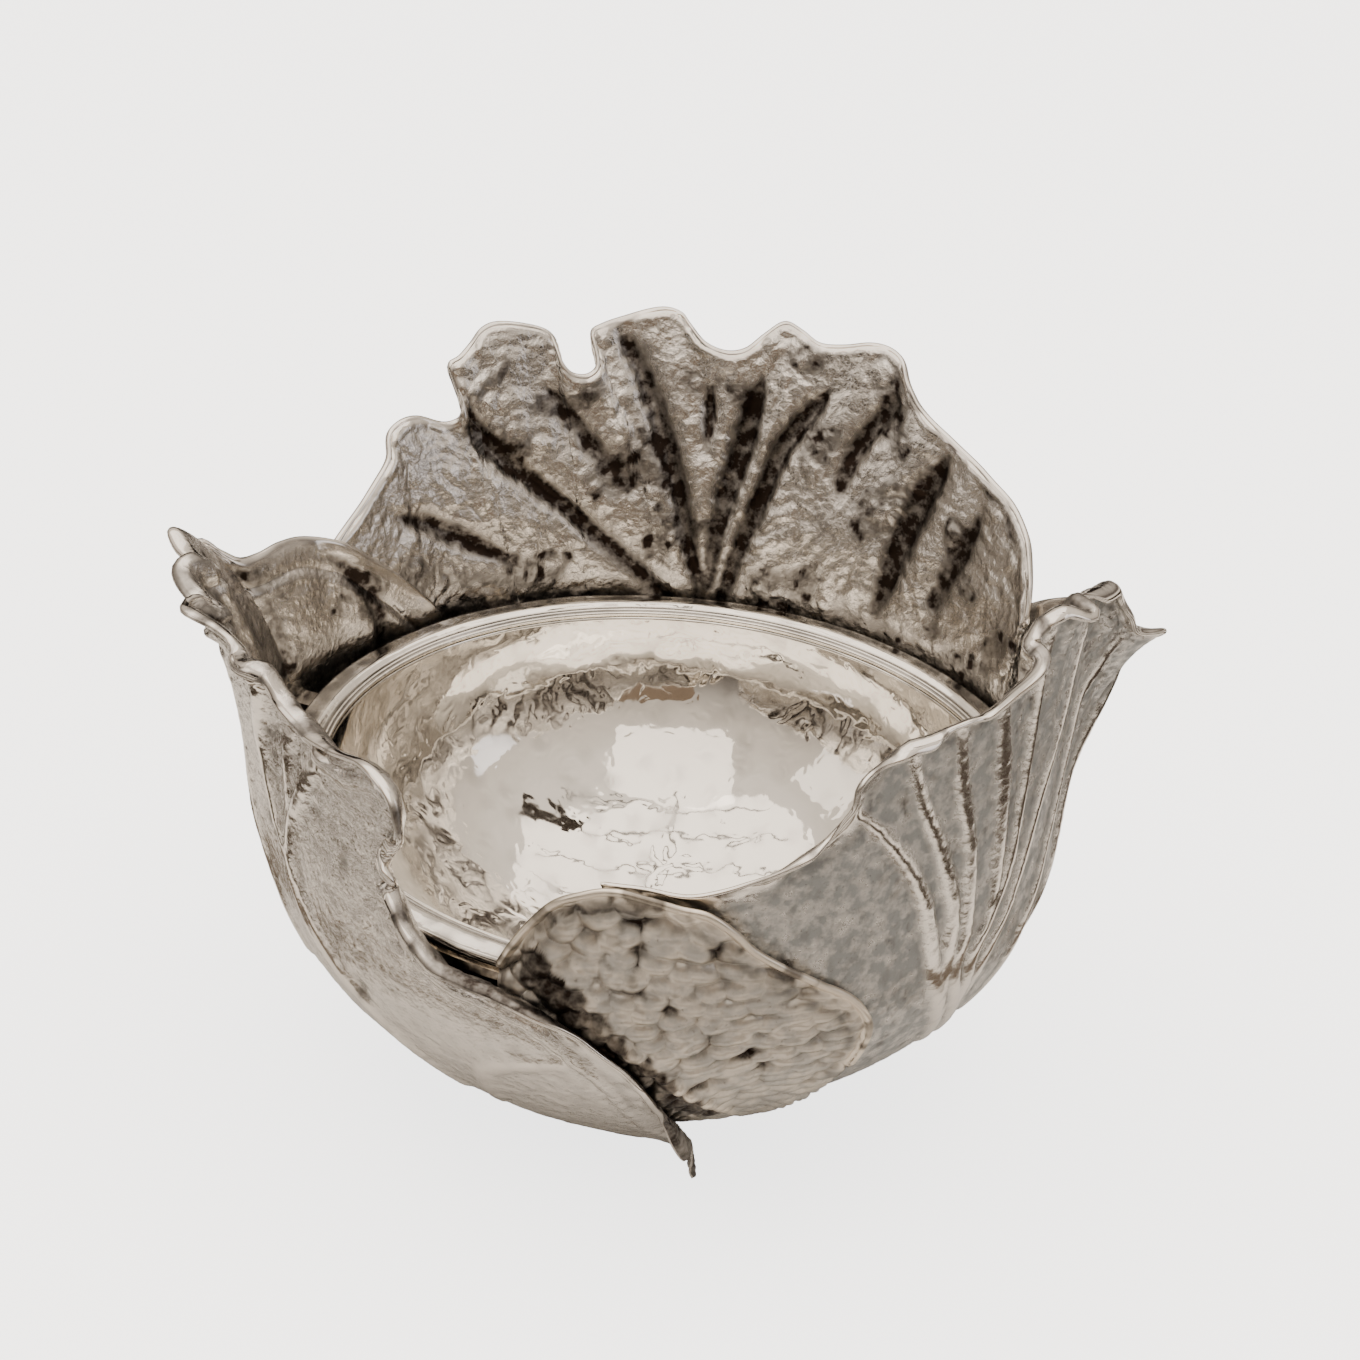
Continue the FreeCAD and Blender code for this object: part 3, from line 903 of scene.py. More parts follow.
        outer, inner = centre + normal * half[..., None], centre - normal * half[..., None]

        outwards = centre[:, -1] - centre[:, -2]
        outwards /= np.linalg.norm(outwards, axis=-1, keepdims=True)
        turns = np.linspace(np.pi / 2, -np.pi / 2, self.edge_rows + 2)[1:-1]
        edge = (centre[:, -1, None] + half[:, -1, None, None]
                * (outwards[:, None] * np.cos(turns)[:, None] + normal[:, -1, None] * np.sin(turns)[:, None]))
        loop = np.concatenate([outer, edge, inner[:, ::-1]], axis=1)

        rows, columns = loop.shape[:2]
        faces = grid_faces(rows, columns, False, True)
        step = np.arange(columns // 2 - 1)
        cap = np.stack([step, step + 1, columns - 2 - step, columns - 1 - step], -1)
        if self.outline[-1][0] < self.outline[0][0]:
            faces = faces[:, ::-1]
            caps = [cap, cap[:, ::-1] + (rows - 1) * columns]
        else:
            caps = [cap[:, ::-1], cap + (rows - 1) * columns]
        return put_in(f"{self.node}_chased", loop.reshape(-1, 3), [faces, *caps], self.patina(at, worked),
                      finish, "leaf_stand", (self.node,))

    def patina(self, at: Places, worked: Relief) -> dict[str, Array]:
        """Oxide with painted shade, grey matting with painted reflection, and calm for every vertex of the
        closed sheet.

        Args:
            at: places of the leaf.
            worked: their relief.

        Returns:
            Oxide together with painted shade: real oxide in the grooves inside and between ribs
            outside, darker towards the base outside, painted shade under the rolled edge and on the
            inside behind the liner's rim, and painted shade and painted reflections in the leaf's listed
            patches; grey matting together with a painted reflection, on the ground outside that the
            polished ribs and edge stand out from; and calm, where ribs, grooves and edge are smoothed and
            the grain fades out.
        """
        crest, wide, low = worked.crest, worked.wide, worked.low
        patch = smooth(self.noise(at.points, PATCH_SIZE, Pattern.OXIDE_PATCHES), 0.12, 0.45)
        fine = smooth(self.noise(at.points, SPECK_SIZE, Pattern.OXIDE_SPECKS), 0.15, 0.5)
        away = smooth(at.to_edge, 0.8, self.ground.smooth_lip + 0.5)
        curl = ease(at.azimuth, self.curl)
        stain = self.ground.stain
        grooves = 0.12 + 1.05 * crest + 0.45 * stain * wide
        inside = grooves + stain * (1 - low) * (0.25 + patch) + stain * patch * fine * 1.6
        # Below the rim line the inside is painted dark: painted shade where the leaf faces the liner's rim.
        inside = np.maximum(np.clip(inside, 0, 1) * away, 0.85 * smooth(-at.run, -5.0, 6.0))
        flanks = stain * (wide - crest) * 0.4
        outside = flanks + stain * low * (0.5 + patch) + 0.6 * stain * patch * fine
        outside = np.maximum(np.clip(outside, 0, 1) * away, 0.3 * smooth(-at.run, 40.0, 110.0))
        # Painted shade under the rolled edge: a dark band on the outside of the sheet just below the roll.
        shade_under_roll = bell(at.to_edge - 6.5, 1.8) * curl
        outside = np.maximum(outside, 0.8 * shade_under_roll * (0.5 + 0.5 * patch))
        streaks = self.noise(at.points, STREAK_SIZE, Pattern.STREAKS)
        streaks = streaks + 0.5 * self.noise(at.points, FINE_STREAK_SIZE, Pattern.FINE_STREAKS)
        streaks = 0.8 * smooth(streaks, -0.05, 0.3) * (1 - smooth(at.to_edge, 3.0, 7.0)) * curl
        outside, inside = np.maximum(outside, streaks), np.maximum(inside, streaks)
        # Painted shade and painted reflection in the leaf's listed patches, with ragged edges.
        patch_edge_noise = self.noise(at.points, PAINTED_PATCH_EDGE_SIZE, Pattern.PAINTED_PATCH_EDGES)
        for painted_patch in self.painted_shade_and_reflections:
            distance, _, width, strength = painted_patch.near(at)
            share = strength * (1 - smooth(distance + painted_patch.ragged * patch_edge_noise * width, 0.6 * width, 1.1 * width))
            outside, inside = np.maximum(outside, share * away), np.maximum(inside, share * away)
        # Grey matting plus a painted reflection of the room, off the crests and away from the edge.
        matting_and_reflection = self.ground.matting_and_reflection * (1 - crest) * away
        calm = np.maximum(0.85 * crest, 1 - smooth(at.to_edge, 1.0, self.ground.smooth_lip + 1.0))
        rounded = np.zeros((len(at.points), self.edge_rows))
        return {
            "oxide_shade_and_reflection": np.concatenate([outside, rounded + 0.8 * streaks[:, -1:], inside[:, ::-1]], axis=1),
            "matting_and_reflection": np.concatenate([matting_and_reflection, rounded, 0.25 * matting_and_reflection[:, ::-1]], axis=1),
            "calm": np.concatenate([calm, rounded + 1, calm[:, ::-1]], axis=1)}


BACK_LEAF = Leaf(
    node="back_leaf", seed=3, fullness=3.0,
    lean=((30, 0.36), (60, 0.42), (147, 0.42)),
    standoff=((30, 0.8), (90, 1.4), (112, 3.2), (130, 5.6), (150, 8.2)),
    outline=(
        (147, 32, -1, 0), (141, 39, -1, 0), (136.5, 46, -0.5, 0), (134, 51.2, -0.5, 0),
        (132.8, 57.3, 0, 1), (130.6, 60, 0, 1), (127.8, 59.7, 0, 2), (124.4, 56.3, 0, 2),
        (122.5, 56.7, 0, 1), (122, 59, 0, 0), (122, 64.6, 0, 1), (122.2, 69.5, 0, 2),
        (122.4, 73, 0, 2), (121, 74.4, 0, 2), (119.3, 77.6, 0, 2), (117.6, 81.5, 0, 2),
        (115.5, 82.7, 0, 2), (111.1, 80.6, 0, 2), (109, 78.2, 0, 1.5), (108.5, 74.6, 0, 0),
        (107.9, 69.7, 0, -1), (106.6, 66.3, 0, -1), (104.7, 65.6, 0, -1), (103.4, 67.8, 0, -1),
        (103.4, 72, 0, 0), (103.7, 75.3, 0, 1), (103.7, 78.2, 0, 2), (102.5, 79.9, 0, 2),
        (100, 81.8, 0, 3), (95.2, 84.9, 0, 3), (92.7, 83.9, 0, 3), (91.4, 80.7, 0, 2),
        (89.4, 75.9, 0, 0), (86.7, 73.8, 0, 0), (84.2, 75.1, 0, 0), (82, 80, 0, 2),
        (79.8, 84.2, 0, 3), (77.5, 82.6, 0, 2.5), (74.9, 79.8, 0, 2), (71.8, 80.7, 0, 2),
        (68.5, 83, 0, 2.5), (66.1, 83, 0, 3), (63.7, 80.5, 0, 2), (61.6, 74.3, 0, 0),
        (58.8, 68.6, 0, 0), (53.2, 63.7, 0, 0), (46, 59.1, 0, 0), (40.2, 55.1, 0, 0.5),
        (35.4, 48.8, 0, 1), (31.6, 40, 0, 0), (29, 29, 0, 0)),
    base=((0, 128, 42, 0), (0.2, 105, 42, 0), (0.39, 97, 42, 0), (0.44, 69, 42, 0), (1, 30, 42, 0)),
    ground=Ground(crumple=0.62, crumple_size=6.0, puff=1.1, ruffle=0.7, curl_turn=80.0, stain=0.45,
                  smooth_lip=2.0, matting_and_reflection=0.5),
    curl=((0.0, 0.3), (360.0, 0.3)),
    # Painted shade on the back leaf: under the U-notch, beside the notch at azimuth 122, and low at the back
    # left where the left leaf stands inside it.
    painted_shade_and_reflections=(
        Rib(((112, 56, 3.0, 0.8), (107, 57, 3.6, 0.9), (103.5, 61, 3.0, 0.8)), 0.8),
        Rib(((121, 60, 1.8, 0.6), (117, 66, 2.2, 0.8), (115, 70, 1.6, 0.7)), 0.9),
        Rib(((135, 14, 3.0, 0.7), (126, 8, 4.5, 0.6), (116, 3, 3.0, 0.7)), 0.9),
    ),
    ribs=(
        Rib(((124, 60, 1.2, 0.4), (121.7, 57.5, 2.4, 2.2), (118.5, 46.1, 2.8, 3.0), (114, 36.5, 2.7, 3.0),
             (107.9, 25.4, 2.5, 2.6), (102.6, 14.7, 2.3, 2.2), (95.3, 1.4, 2.0, 1.4), (91, -12, 2, 1.2),
             (90, -50, 2.6, 1.1), (90, -100, 3.0, 0.6))),
        Rib(((100, 76, 1.2, 0.5), (98.9, 72.9, 2.2, 2.0), (96.5, 61.8, 2.7, 2.8), (93.9, 46.3, 2.8, 3.0),
             (91.2, 29.1, 2.5, 2.6), (89.3, 13.4, 2.1, 2.2), (87.2, -1.0, 1.8, 1.4), (87, -16, 2, 1.2),
             (87.5, -50, 2.6, 1.2), (88, -100, 3.0, 0.6))),
        Rib(((88, 62, 1.2, 0.5), (88, 55, 1.8, 2.0), (87.9, 44, 1.4, 0.3))),
        Rib(((81.4, 66, 1.2, 0.5), (81.8, 60.4, 2.6, 2.2), (82.9, 46.4, 3.4, 3.2), (84.2, 32.4, 3.0, 2.8),
             (85.4, 17.9, 2.2, 1.8), (86, 2, 1.8, 1.2))),
        Rib(((72.6, 66, 1.2, 0.5), (73.7, 61.4, 2.4, 2.2), (77.1, 48.2, 2.9, 3.0), (79.1, 34.0, 2.7, 2.8),
             (80.9, 20.0, 2.4, 2.2), (82.8, 4.4, 2.0, 1.6), (84, -12, 2, 1.2),
             (84.5, -50, 2.6, 1.1), (85, -100, 3.0, 0.6))),
        Rib(((63.2, 71, 1.2, 0.4), (63.8, 65.5, 2.4, 1.8), (66.9, 52.0, 2.8, 2.4), (68.0, 38.8, 2.0, 0.6))),
        Rib(((53.4, 58, 1.4, 0.5), (54.3, 51.9, 3.4, 2.4), (56.3, 37.3, 4.4, 3.2), (57.3, 18.7, 3.2, 1.6),
             (58.5, 6, 2.2, 0.6))),
        Rib(((134, 32, 1.4, 0.4), (130.0, 28.3, 2.4, 2.2), (123.7, 19.6, 2.8, 2.4), (116.8, 10.2, 1.6, 0.5))),
        Rib(((110, 62, 1.2, 0.3), (108.3, 57.2, 2.0, 1.0), (104.6, 45.4, 2.6, 1.4), (98.5, 32.7, 2.0, 0.4)),
            0.9),
        Rib(((45, 48, 1.4, 0.3), (46, 36, 3.0, 1.2), (48.5, 16, 2.6, 0.8))),
    ))

LEFT_LEAF = Leaf(
    node="left_leaf", seed=19, fullness=3.2, edge_sheet=1.8,
    lean=((129, 0.30), (150, 0.36), (172, 0.36), (204, 0.05), (290, 0.05)),
    standoff=((129, 2.8), (150, 5.4), (180, 7.2), (205, 6.6), (240, 6.0), (290, 6.0)),
    outline=(
        (129, -4, 0, 0), (131, 3, -1, 0), (137, 16, -2, 0), (142, 25, -3, 0), (147, 34, -5, 1),
        (153, 41, -3, 3), (158, 44, -2, 3), (162.5, 45.2, 0, 2), (166, 47.5, 2, 2), (167.8, 52.5, 4, 4),
        (169, 59.5, 5, 8), (171, 65.6, 6, 10), (173.5, 62.2, 5, 6), (175.7, 60, 2, 2), (177.5, 63, 0, 4),
        (180, 64, 1, 9), (183.5, 59, 2, 4), (186, 56, 0, 1), (188, 60, 0, 5),
        (190.5, 64, 2, 12), (194, 61, 3, 5), (198, 56, 2, 1), (201.5, 58, -1, 6),
        (204, 57, -3, 3), (207, 50, -5, 1), (213, 46, -7, 0.5), (220, 46, -6, 0.5),
        (227, 50, -6, 1.5), (232, 48, -4, 1.5), (234.6, 41, -3, 1), (234.8, 33, -3, 0.5),
        (233.2, 24, -2, 0.5), (233, 17, -3, 0.5), (235.5, 11, -1, 0), (238, 5, 0, 0),
        (243, -2, 0, 0), (249, -4, 0, 0), (255, -9, 0, 0), (260, -17, 0, 0),
        (265, -29, 0, 0), (269, -41, 0, 0), (271.8, -56, 0, 0), (274.3, -69, 1, 0),
        (276.6, -81, 6, 0), (279.3, -90, 12, 0)),
    base=((0, 130, 42, 0), (0.3, 152, 42, 0), (0.62, 186, 42, 0), (0.76, 225, 42, 2),
          (0.86, 258, 43, 5), (0.92, 275, 47, 8), (0.96, 283, 60, 11), (1, 280.6, 76.5, 16)),
    curl=((150, 0.15), (168, 0.5), (188, 1.0), (240, 1.0), (262, 0.8), (272, 0.5)),
    ground=Ground(crumple=0.30, crumple_size=6.5, puff=0.6, ruffle=0.35, curl_turn=160.0, curl_radius=2.9,
                  border=0.8, border_inset=9.0, matting_and_reflection=0.25, stain=0.4),
    ribs=(
        Rib(((201.0, 51.3, 1.8, 0.8), (198.2, 36, 2.2, 1.4), (197.5, 21.7, 2.4, 1.6), (202.1, 2.8, 2.4, 1.6),
             (211.0, -9.3, 2.4, 1.4), (222, -40, 2.6, 1.4), (236, -80, 2.6, 1.2)), 0.3),
        Rib(((208.3, 48.1, 1.6, 0.6), (204.8, 28.0, 2.0, 1.0), (206, 10, 2, 0.8)), 0.3),
        Rib(((222, 44, 1.6, 0.5), (214, 34, 2.4, 1.6), (209.7, 19.0, 2.6, 2.0), (207.9, 4.1, 2.6, 1.8),
             (211, -14, 2.6, 1.6), (224, -48, 2.6, 1.2)), 0.3),
        Rib(((189, 54, 1.6, 0.4), (187, 40, 2.2, 0.7), (190, 0, 2.4, 0.8), (204, -50, 2.6, 1.2)), 0.3),
        Rib(((178.5, 56, 1.6, 0.3), (177, 38, 2.4, 0.5), (180, 0, 2.6, 0.7), (192, -60, 2.6, 1.2)), 0.3),
        Rib(((168, 52, 1.6, 0.2), (164, 30, 2.6, 0.35), (164, 0, 2.6, 0.6), (172, -60, 2.6, 1.2)), 0.3),
        Rib(((150, 32, 1.6, 0.4), (144.3, 16.4, 2.2, 0.9), (141.1, -4.9, 2.4, 1.0), (144, -60, 2.4, 1.0)),
            0.3),
        Rib(((262, -34, 1.4, 0.3), (254, -40, 2.4, 0.9), (246, -52, 2.6, 1.0), (244, -80, 2.4, 1.0)), 0.3),
    ))

RIGHT_LEAF = Leaf(
    node="right_leaf", seed=41, fullness=4.0, edge_sheet=1.7,
    lean=((262, 0.05), (330, 0.04), (362, 0.20), (385, 0.36)),
    standoff=((262, 0.8), (330, 0.8), (360, 0.7), (372, 2.2), (384, 3.9), (400, 4.2)),
    outline=(
        (262, 33, -1, 0), (268, 33, -1, 0), (275, 32, 0, 0), (282.5, 37, 0, 0.5),
        (288.6, 45, 0, 0.5), (293, 51, -1, 1), (295, 59, -1, 3), (295.5, 66, -1, 3),
        (298, 70, -2, 2), (302, 76, -3, 2), (307.5, 77, -4, 3), (312, 78, -3, 3),
        (316, 78, -2, 2), (319, 84, -3, 6), (322.5, 93, -3, 10), (323.5, 94, -4, 4),
        (327, 99, -4, 2), (330, 102, -4, 6), (333, 99, -4, 12), (335.5, 98, -5, 3),
        (341, 93, -7, 2), (346, 91, -9, 4), (350, 89, -10, 7), (353, 79, -4, 6),
        (356, 70, -1, 7), (360, 66, 6, 10), (364, 57, 6, 6), (369, 52, 3, 2),
        (376, 49, 0, 1), (384, 43, 0, 0), (392, 32, 0, 0), (397, 23, 0, 0)),
    base=((0, 303, 42, 0), (1, 383, 42, 0)),
    curl=((280, 0.0), (290, 0.7), (312, 1.0), (345, 1.0), (365, 0.4)),
    ground=Ground(crumple=0.24, crumple_size=4.0, puff=0.0, ruffle=0.7, curl_turn=165.0, curl_radius=3.0,
                  matting_and_reflection=0.9, stain=0.4, smooth_lip=6.0),
    ribs=(
        Rib(((294.9, 58.5, 1.2, 0.8), (301.1, 45.5, 1.7, 1.5), (306.8, 29.3, 1.9, 1.7),
             (310.1, 15.1, 2.1, 1.7), (311.7, 1.3, 2.3, 1.6), (313.5, -14, 2.4, 1.5),
             (322, -60, 2.4, 1.2)), 0.25),
        Rib(((304.2, 71.3, 1.2, 0.8), (307.4, 52.1, 1.8, 1.5), (311.8, 32.9, 2.1, 1.7),
             (315.3, 11.7, 2.3, 1.6), (315.6, -3, 2.3, 1.4), (316, -20, 2.2, 1.0),
             (318, -44, 1.6, 0.1)), 0.25),
        Rib(((312.4, 73.4, 1.4, 1.0), (314.3, 53.3, 1.8, 1.6), (317.7, 27.1, 1.9, 1.7),
             (318.7, 2.9, 2.1, 1.6), (318, -18, 2.2, 1.4), (326, -60, 2.4, 1.2)), 0.25),
        Rib(((318.9, 80, 1.4, 0.6), (322.0, 58, 2.6, 1.2), (324.1, 33.6, 2.4, 1.2), (324.7, 9.4, 2.0, 1.2),
             (322, -12, 2.0, 1.0), (321.5, -38, 1.6, 0.1)), 0.25),
        Rib(((330.3, 90, 1.4, 0.8), (329.9, 68.7, 1.6, 1.7), (329.2, 40.3, 1.7, 1.8), (327.1, 13.3, 1.9, 1.7),
             (321.5, -9, 2.2, 1.6), (322, -30, 2.2, 1.2), (323.5, -60, 1.8, 0.1)), 0.25),
        Rib(((346.2, 74, 1.4, 0.8), (340.7, 52.1, 1.8, 1.6), (336.6, 39.0, 1.8, 1.5), (332, 12, 2.0, 1.4),
             (325, -16, 2.2, 1.2), (323.5, -46, 1.8, 0.1)), 0.25),
        Rib(((356, 62, 1.6, 0.6), (351, 44, 2.0, 1.6), (345, 20, 2.0, 1.6), (337, -12, 2.2, 1.4),
             (334, -60, 2.2, 1.0)), 0.3),
        Rib(((365, 50, 1.6, 0.6), (361, 34, 2.4, 2.0), (356, 8, 2.4, 1.8), (350, -30, 2.4, 1.4),
             (347, -80, 2.2, 1.0)), 0.3),
        Rib(((378, 40, 1.6, 0.6), (374, 20, 2.4, 1.8), (370, -10, 2.4, 1.6), (364, -60, 2.4, 1.2)), 0.3),
    ))

FRONT_LEAF = Leaf(
    node="front_leaf", seed=67, fullness=3.0, edge_steps=250, rise_steps=150,
    lean=((249, 0.2), (300, 0.2)),
    standoff=((250, 2.9), (300, 2.9)),
    outline=(
        (249, 2, 0, 0), (251, 11, 0, 0), (253.5, 20, 0, 0), (257, 30, 0, 0.5), (261, 35, 0, 1),
        (265, 37, 0, 1.5), (269, 35, 0, 1), (273, 32, 0, 0.5), (277, 30, 0, 0.5),
        (280.5, 24, 0, 0), (283.5, 17, 0, 0), (288, 10, 0, 0), (293, 3, 0, 0),
        (298.3, -6, 0, 0), (301, -15, 0, 0), (302.3, -23, 0, 0), (302.3, -32, 0, 0),
        (301.5, -43, 0, 0)),
    base=((0, 252, 42, 0), (1, 291, 42, 0)),
    ground=Ground(crumple=0.3, crumple_size=5.0, bumps=2.1, bump_size=6.8, puff=0.0, ruffle=0.4,
                  curl_turn=75.0, curl_radius=2.2, matting_and_reflection=0.6, stain=0.75, smooth_lip=5.0),
    # Painted reflection of the left leaf's dark inner side down the front leaf's left part, and painted
    # shadow along its top edge under the overlapping left leaf.
    painted_shade_and_reflections=(
        Rib(((252.5, 10, 4.0, 0.9), (257, -4, 7.5, 0.95), (263.5, -24, 8.5, 0.95), (270, -42, 7.5, 0.95),
             (277, -62, 6.0, 0.9), (281, -74, 5.0, 0.9)), 0.6),
        Rib(((252.0, 6, 2.6, 0.9), (254.5, 18, 2.4, 0.9), (258.5, 27, 2.2, 0.85), (264, 31, 2.0, 0.8),
             (270, 29, 1.6, 0.6)), 0.8),
    ),
    ribs=(
        Rib(((258, -4, 1.0, 0.3), (262.7, -16.2, 1.2, 1.0), (268.8, -30.6, 1.3, 1.2),
             (273.1, -42.7, 1.3, 1.2), (277.8, -55.9, 1.3, 1.1), (286.6, -77.1, 1.2, 0.6)), 0.1),
    ))


# ---------------------------------------------------------------- liner


@dataclass
class Liner:
    """Round bowl that lifts out, planished inside and out, with a broad rolled rim."""

    radius: float = 102.4
    depth: float = 76.0
    top: float = 92.2
    sheet: float = 1.5
    rim_outer: float = 113.8
    rim_height: float = 96.0
    seat_top: float = 89.5
    step_radius: float = 111.4
    dent: float = 0.19
    dent_size: float = 11.0
    sag: float = 0.42
    sag_size: float = 34.0
    pole_angle: float = 0.012
    bowl_seed: int = 131
    rim_seed: int = 173
    # Seed, size and inner radius of the painted reflection of the leaves on the rim's band.
    reflection_streak_seed: int = 191
    reflection_streak_size: float = 7.0
    reflection_streak_radius: float = 107.0
    ledge_thickness: float = 1.5
    bead_radius: float = 0.55
    bead_pitch: float = 1.15
    bead_rows: int = 6
    band_rows: int = 15
    band_inset: float = 2.5
    band_lift: float = 1.5
    rim_rise: Knots = ((0.0, 0.0), (0.3, 1.5), (1.0, 0.35))
    groove_oxide: float = 0.7
    turns: int = 400
    bowl_rows: int = 110

    def dents(self, points: Array, seed: int) -> Array:
        """Depth of the planishing: dishes of dent * distance^2 round each blow, on a slow swell."""
        nearest = hammered(points, self.dent_size, seed)
        return self.dent * nearest**2 + self.sag * swell(points, self.sag_size, seed + 9)

    def spin(self, radius: Array, height: Array) -> Array:
        """Grid of points from a profile turned about the Z axis."""
        angle = np.linspace(0, 2 * np.pi, self.turns, endpoint=False)[:, None]
        return np.stack([radius * np.cos(angle), radius * np.sin(angle),
                         np.broadcast_to(height, (self.turns, len(height)))], -1)

    def build_bowl(self, finish: bpy.types.Material) -> bpy.types.Object:
        """Make the bowl: two skins of an ellipsoid, joined at the top and closed at the poles.

        Args:
            finish: liner's material.

        Returns:
            The bowl, riding on the liner in place of its CAD node.
        """
        angle = np.linspace(self.pole_angle, np.pi / 2, self.bowl_rows)
        skins, poles = [], []
        for offset in (0.0, self.sheet):
            reach, drop = self.radius + offset, self.depth + offset
            points = self.spin(reach * np.sin(angle), self.top - drop * np.cos(angle))
            normal = points - np.array([0, 0, self.top])
            normal = normal / np.array([reach**2, reach**2, drop**2])
            normal /= np.linalg.norm(normal, axis=-1, keepdims=True)
            fade = smooth(self.top - points[..., 2], 0.5, 6.0)
            skin = points + normal * (self.dents(points, self.bowl_seed) * fade)[..., None]
            skins.append(skin)
            poles.append(np.array([0.0, 0.0, skin[:, 0, 2].mean()]))
        inner, outer = skins
        loop = np.concatenate([inner, outer[:, ::-1]], axis=1)
        rows, columns = loop.shape[:2]
        faces = grid_faces(rows, columns, True, False)[:, ::-1]
        points = np.concatenate([loop.reshape(-1, 3), poles])
        row = np.arange(rows)
        following = (row + 1) % rows
        inner_pole = np.stack([np.full(rows, rows * columns), row * columns, following * columns], -1)
        outer_pole = np.stack([np.full(rows, rows * columns + 1), following * columns + columns - 1,
                               row * columns + columns - 1], -1)
        zeros = np.zeros(len(points))
        return put_in("liner_bowl_planished", points, [faces, inner_pole, outer_pole],
                      {"oxide_shade_and_reflection": zeros, "matting_and_reflection": zeros}, finish, "liner", ("liner_bowl",))

    def build_rim(self, finish: bpy.types.Material) -> bpy.types.Object:
        """Make the rim: a convex band with two beads at its inner edge and a step underneath.

        Args:
            finish: liner's material.

        Returns:
            The rim, riding on the liner in place of its CAD node.
        """
        neck = self.radius + self.sheet
        ledge = self.seat_top + self.ledge_thickness
        profile = [(self.radius, self.top), (self.radius, self.top + 0.9)]
        for bead in (0.0, self.bead_pitch):
            centre = self.radius + self.bead_radius + bead
            lift = self.top + 1.15 + 0.45 * bead
            profile += [(centre - 0.5 * math.cos(a), lift + self.bead_radius * math.sin(a))
                        for a in np.linspace(0.3, 2.8, self.bead_rows)]
        start = self.radius + self.band_inset
        band = np.linspace(0.0, 1.0, self.band_rows + 1)[1:]
        reach = self.rim_outer - start
        profile += [(start + reach * share, self.top + self.band_lift + rise)
                    for share, rise in zip(band, ease(band, self.rim_rise))]
        profile += [(self.rim_outer, ledge + 0.3), (self.rim_outer - 0.3, ledge), (self.step_radius, ledge),
                    (self.step_radius, self.seat_top), (neck, self.seat_top), (neck, self.top - 0.6)]
        outline = np.array(profile)
        points = self.spin(outline[:, 0], outline[:, 1])
        on_band = smooth(outline[:, 0], start, start + 2) * (outline[:, 1] > self.top)
        points[..., 2] -= self.dents(points, self.rim_seed) * on_band * 0.7
        faces = grid_faces(*points.shape[:2], True, True)
        flat = points.reshape(-1, 3)
        rim_oxide_and_reflection = np.zeros(points.shape[:2])
        for valley in (2 + self.bead_rows, 2 + 2 * self.bead_rows):
            rim_oxide_and_reflection[:, valley - 1:valley + 1] = self.groove_oxide
        # Painted reflection of the dark leaves: brown streaks on the outer part of the rim's band, kept with
        # the real oxide in the bead valleys.
        leaf_reflection_streaks = swell(points * np.array([1.0, 1.0, 0.3]), self.reflection_streak_size, self.reflection_streak_seed)
        painted_reflection_zone = on_band * smooth(outline[:, 0], self.reflection_streak_radius, self.reflection_streak_radius + 2.0)
        rim_oxide_and_reflection = np.maximum(rim_oxide_and_reflection, painted_reflection_zone * (0.15 + 0.5 * smooth(leaf_reflection_streaks, -0.25, 0.35)))
        return put_in("liner_rim_rolled", flat, [faces], {"oxide_shade_and_reflection": rim_oxide_and_reflection, "matting_and_reflection": np.zeros(len(flat))},
                      finish, "liner", ("liner_rim",))


# ---------------------------------------------------------------- room


Place = tuple[float, float, float]
PAPER = "F4F3F1"
BLACK_FELT = "1A1613"
GREY_FELT = "3A342F"
TIMBER = "2A221D"
BOWL_CENTRE = Vector((0.0, 0.0, 0.1))


@dataclass(frozen=True)
class SoftBox:
    """Rectangular light aimed at the bowl: centre and size in metres, power in watts."""

    name: str
    place: Place
    size: tuple[float, float]
    power: float
    colour: str = "FFF3E6"


@dataclass(frozen=True)
class Card:
    """Felt card facing the bowl: centre and size in metres, sRGB hex colour."""

    name: str
    place: Place
    width: float
    height: float
    colour: str = BLACK_FELT


@dataclass(frozen=True)
class Mat:
    """Round felt mat on the floor with a hole in it: radii in metres, sRGB hex colour."""

    name: str
    inner: float
    outer: float
    colour: str = GREY_FELT


SOFT_BOXES = (
    SoftBox("soft_box_top", (-0.1, 0.35, 1.7), (2.4, 1.7), 16.5),
    SoftBox("soft_box_front", (-0.05, -0.95, 1.5), (1.15, 1.1), 5.0),
    SoftBox("soft_box_left", (-1.9, -0.6, 1.1), (0.9, 1.2), 3.4, "FFF4E8"),
    SoftBox("soft_box_right", (1.9, -0.5, 0.8), (0.7, 1.2), 2.6, "F6F4FA"),
)
CARDS = (
    Card("card_front", (0.25, -2.0, 0.55), 1.1, 0.8, "8A7C6E"),
    Card("card_left", (-1.5, -1.4, 0.3), 0.5, 0.9),
    Card("card_right", (1.5, -1.1, 0.35), 0.5, 0.9),
    Card("card_back", (-0.2, 1.8, 0.5), 1.6, 0.8),
    *(Card(f"ceiling_batten_{row}", (0.0, depth, 1.62), 1.8, 0.02, TIMBER)
      for row, depth in enumerate((-0.35, 0.0, 0.3, 0.65, 1.0))),
    Card("ceiling_joist", (0.02, 0.2, 1.63), 0.02, 1.6, TIMBER),
    Card("card_stand", (0.62, -0.05, 1.25), 0.13, 0.42, GREY_FELT),
)
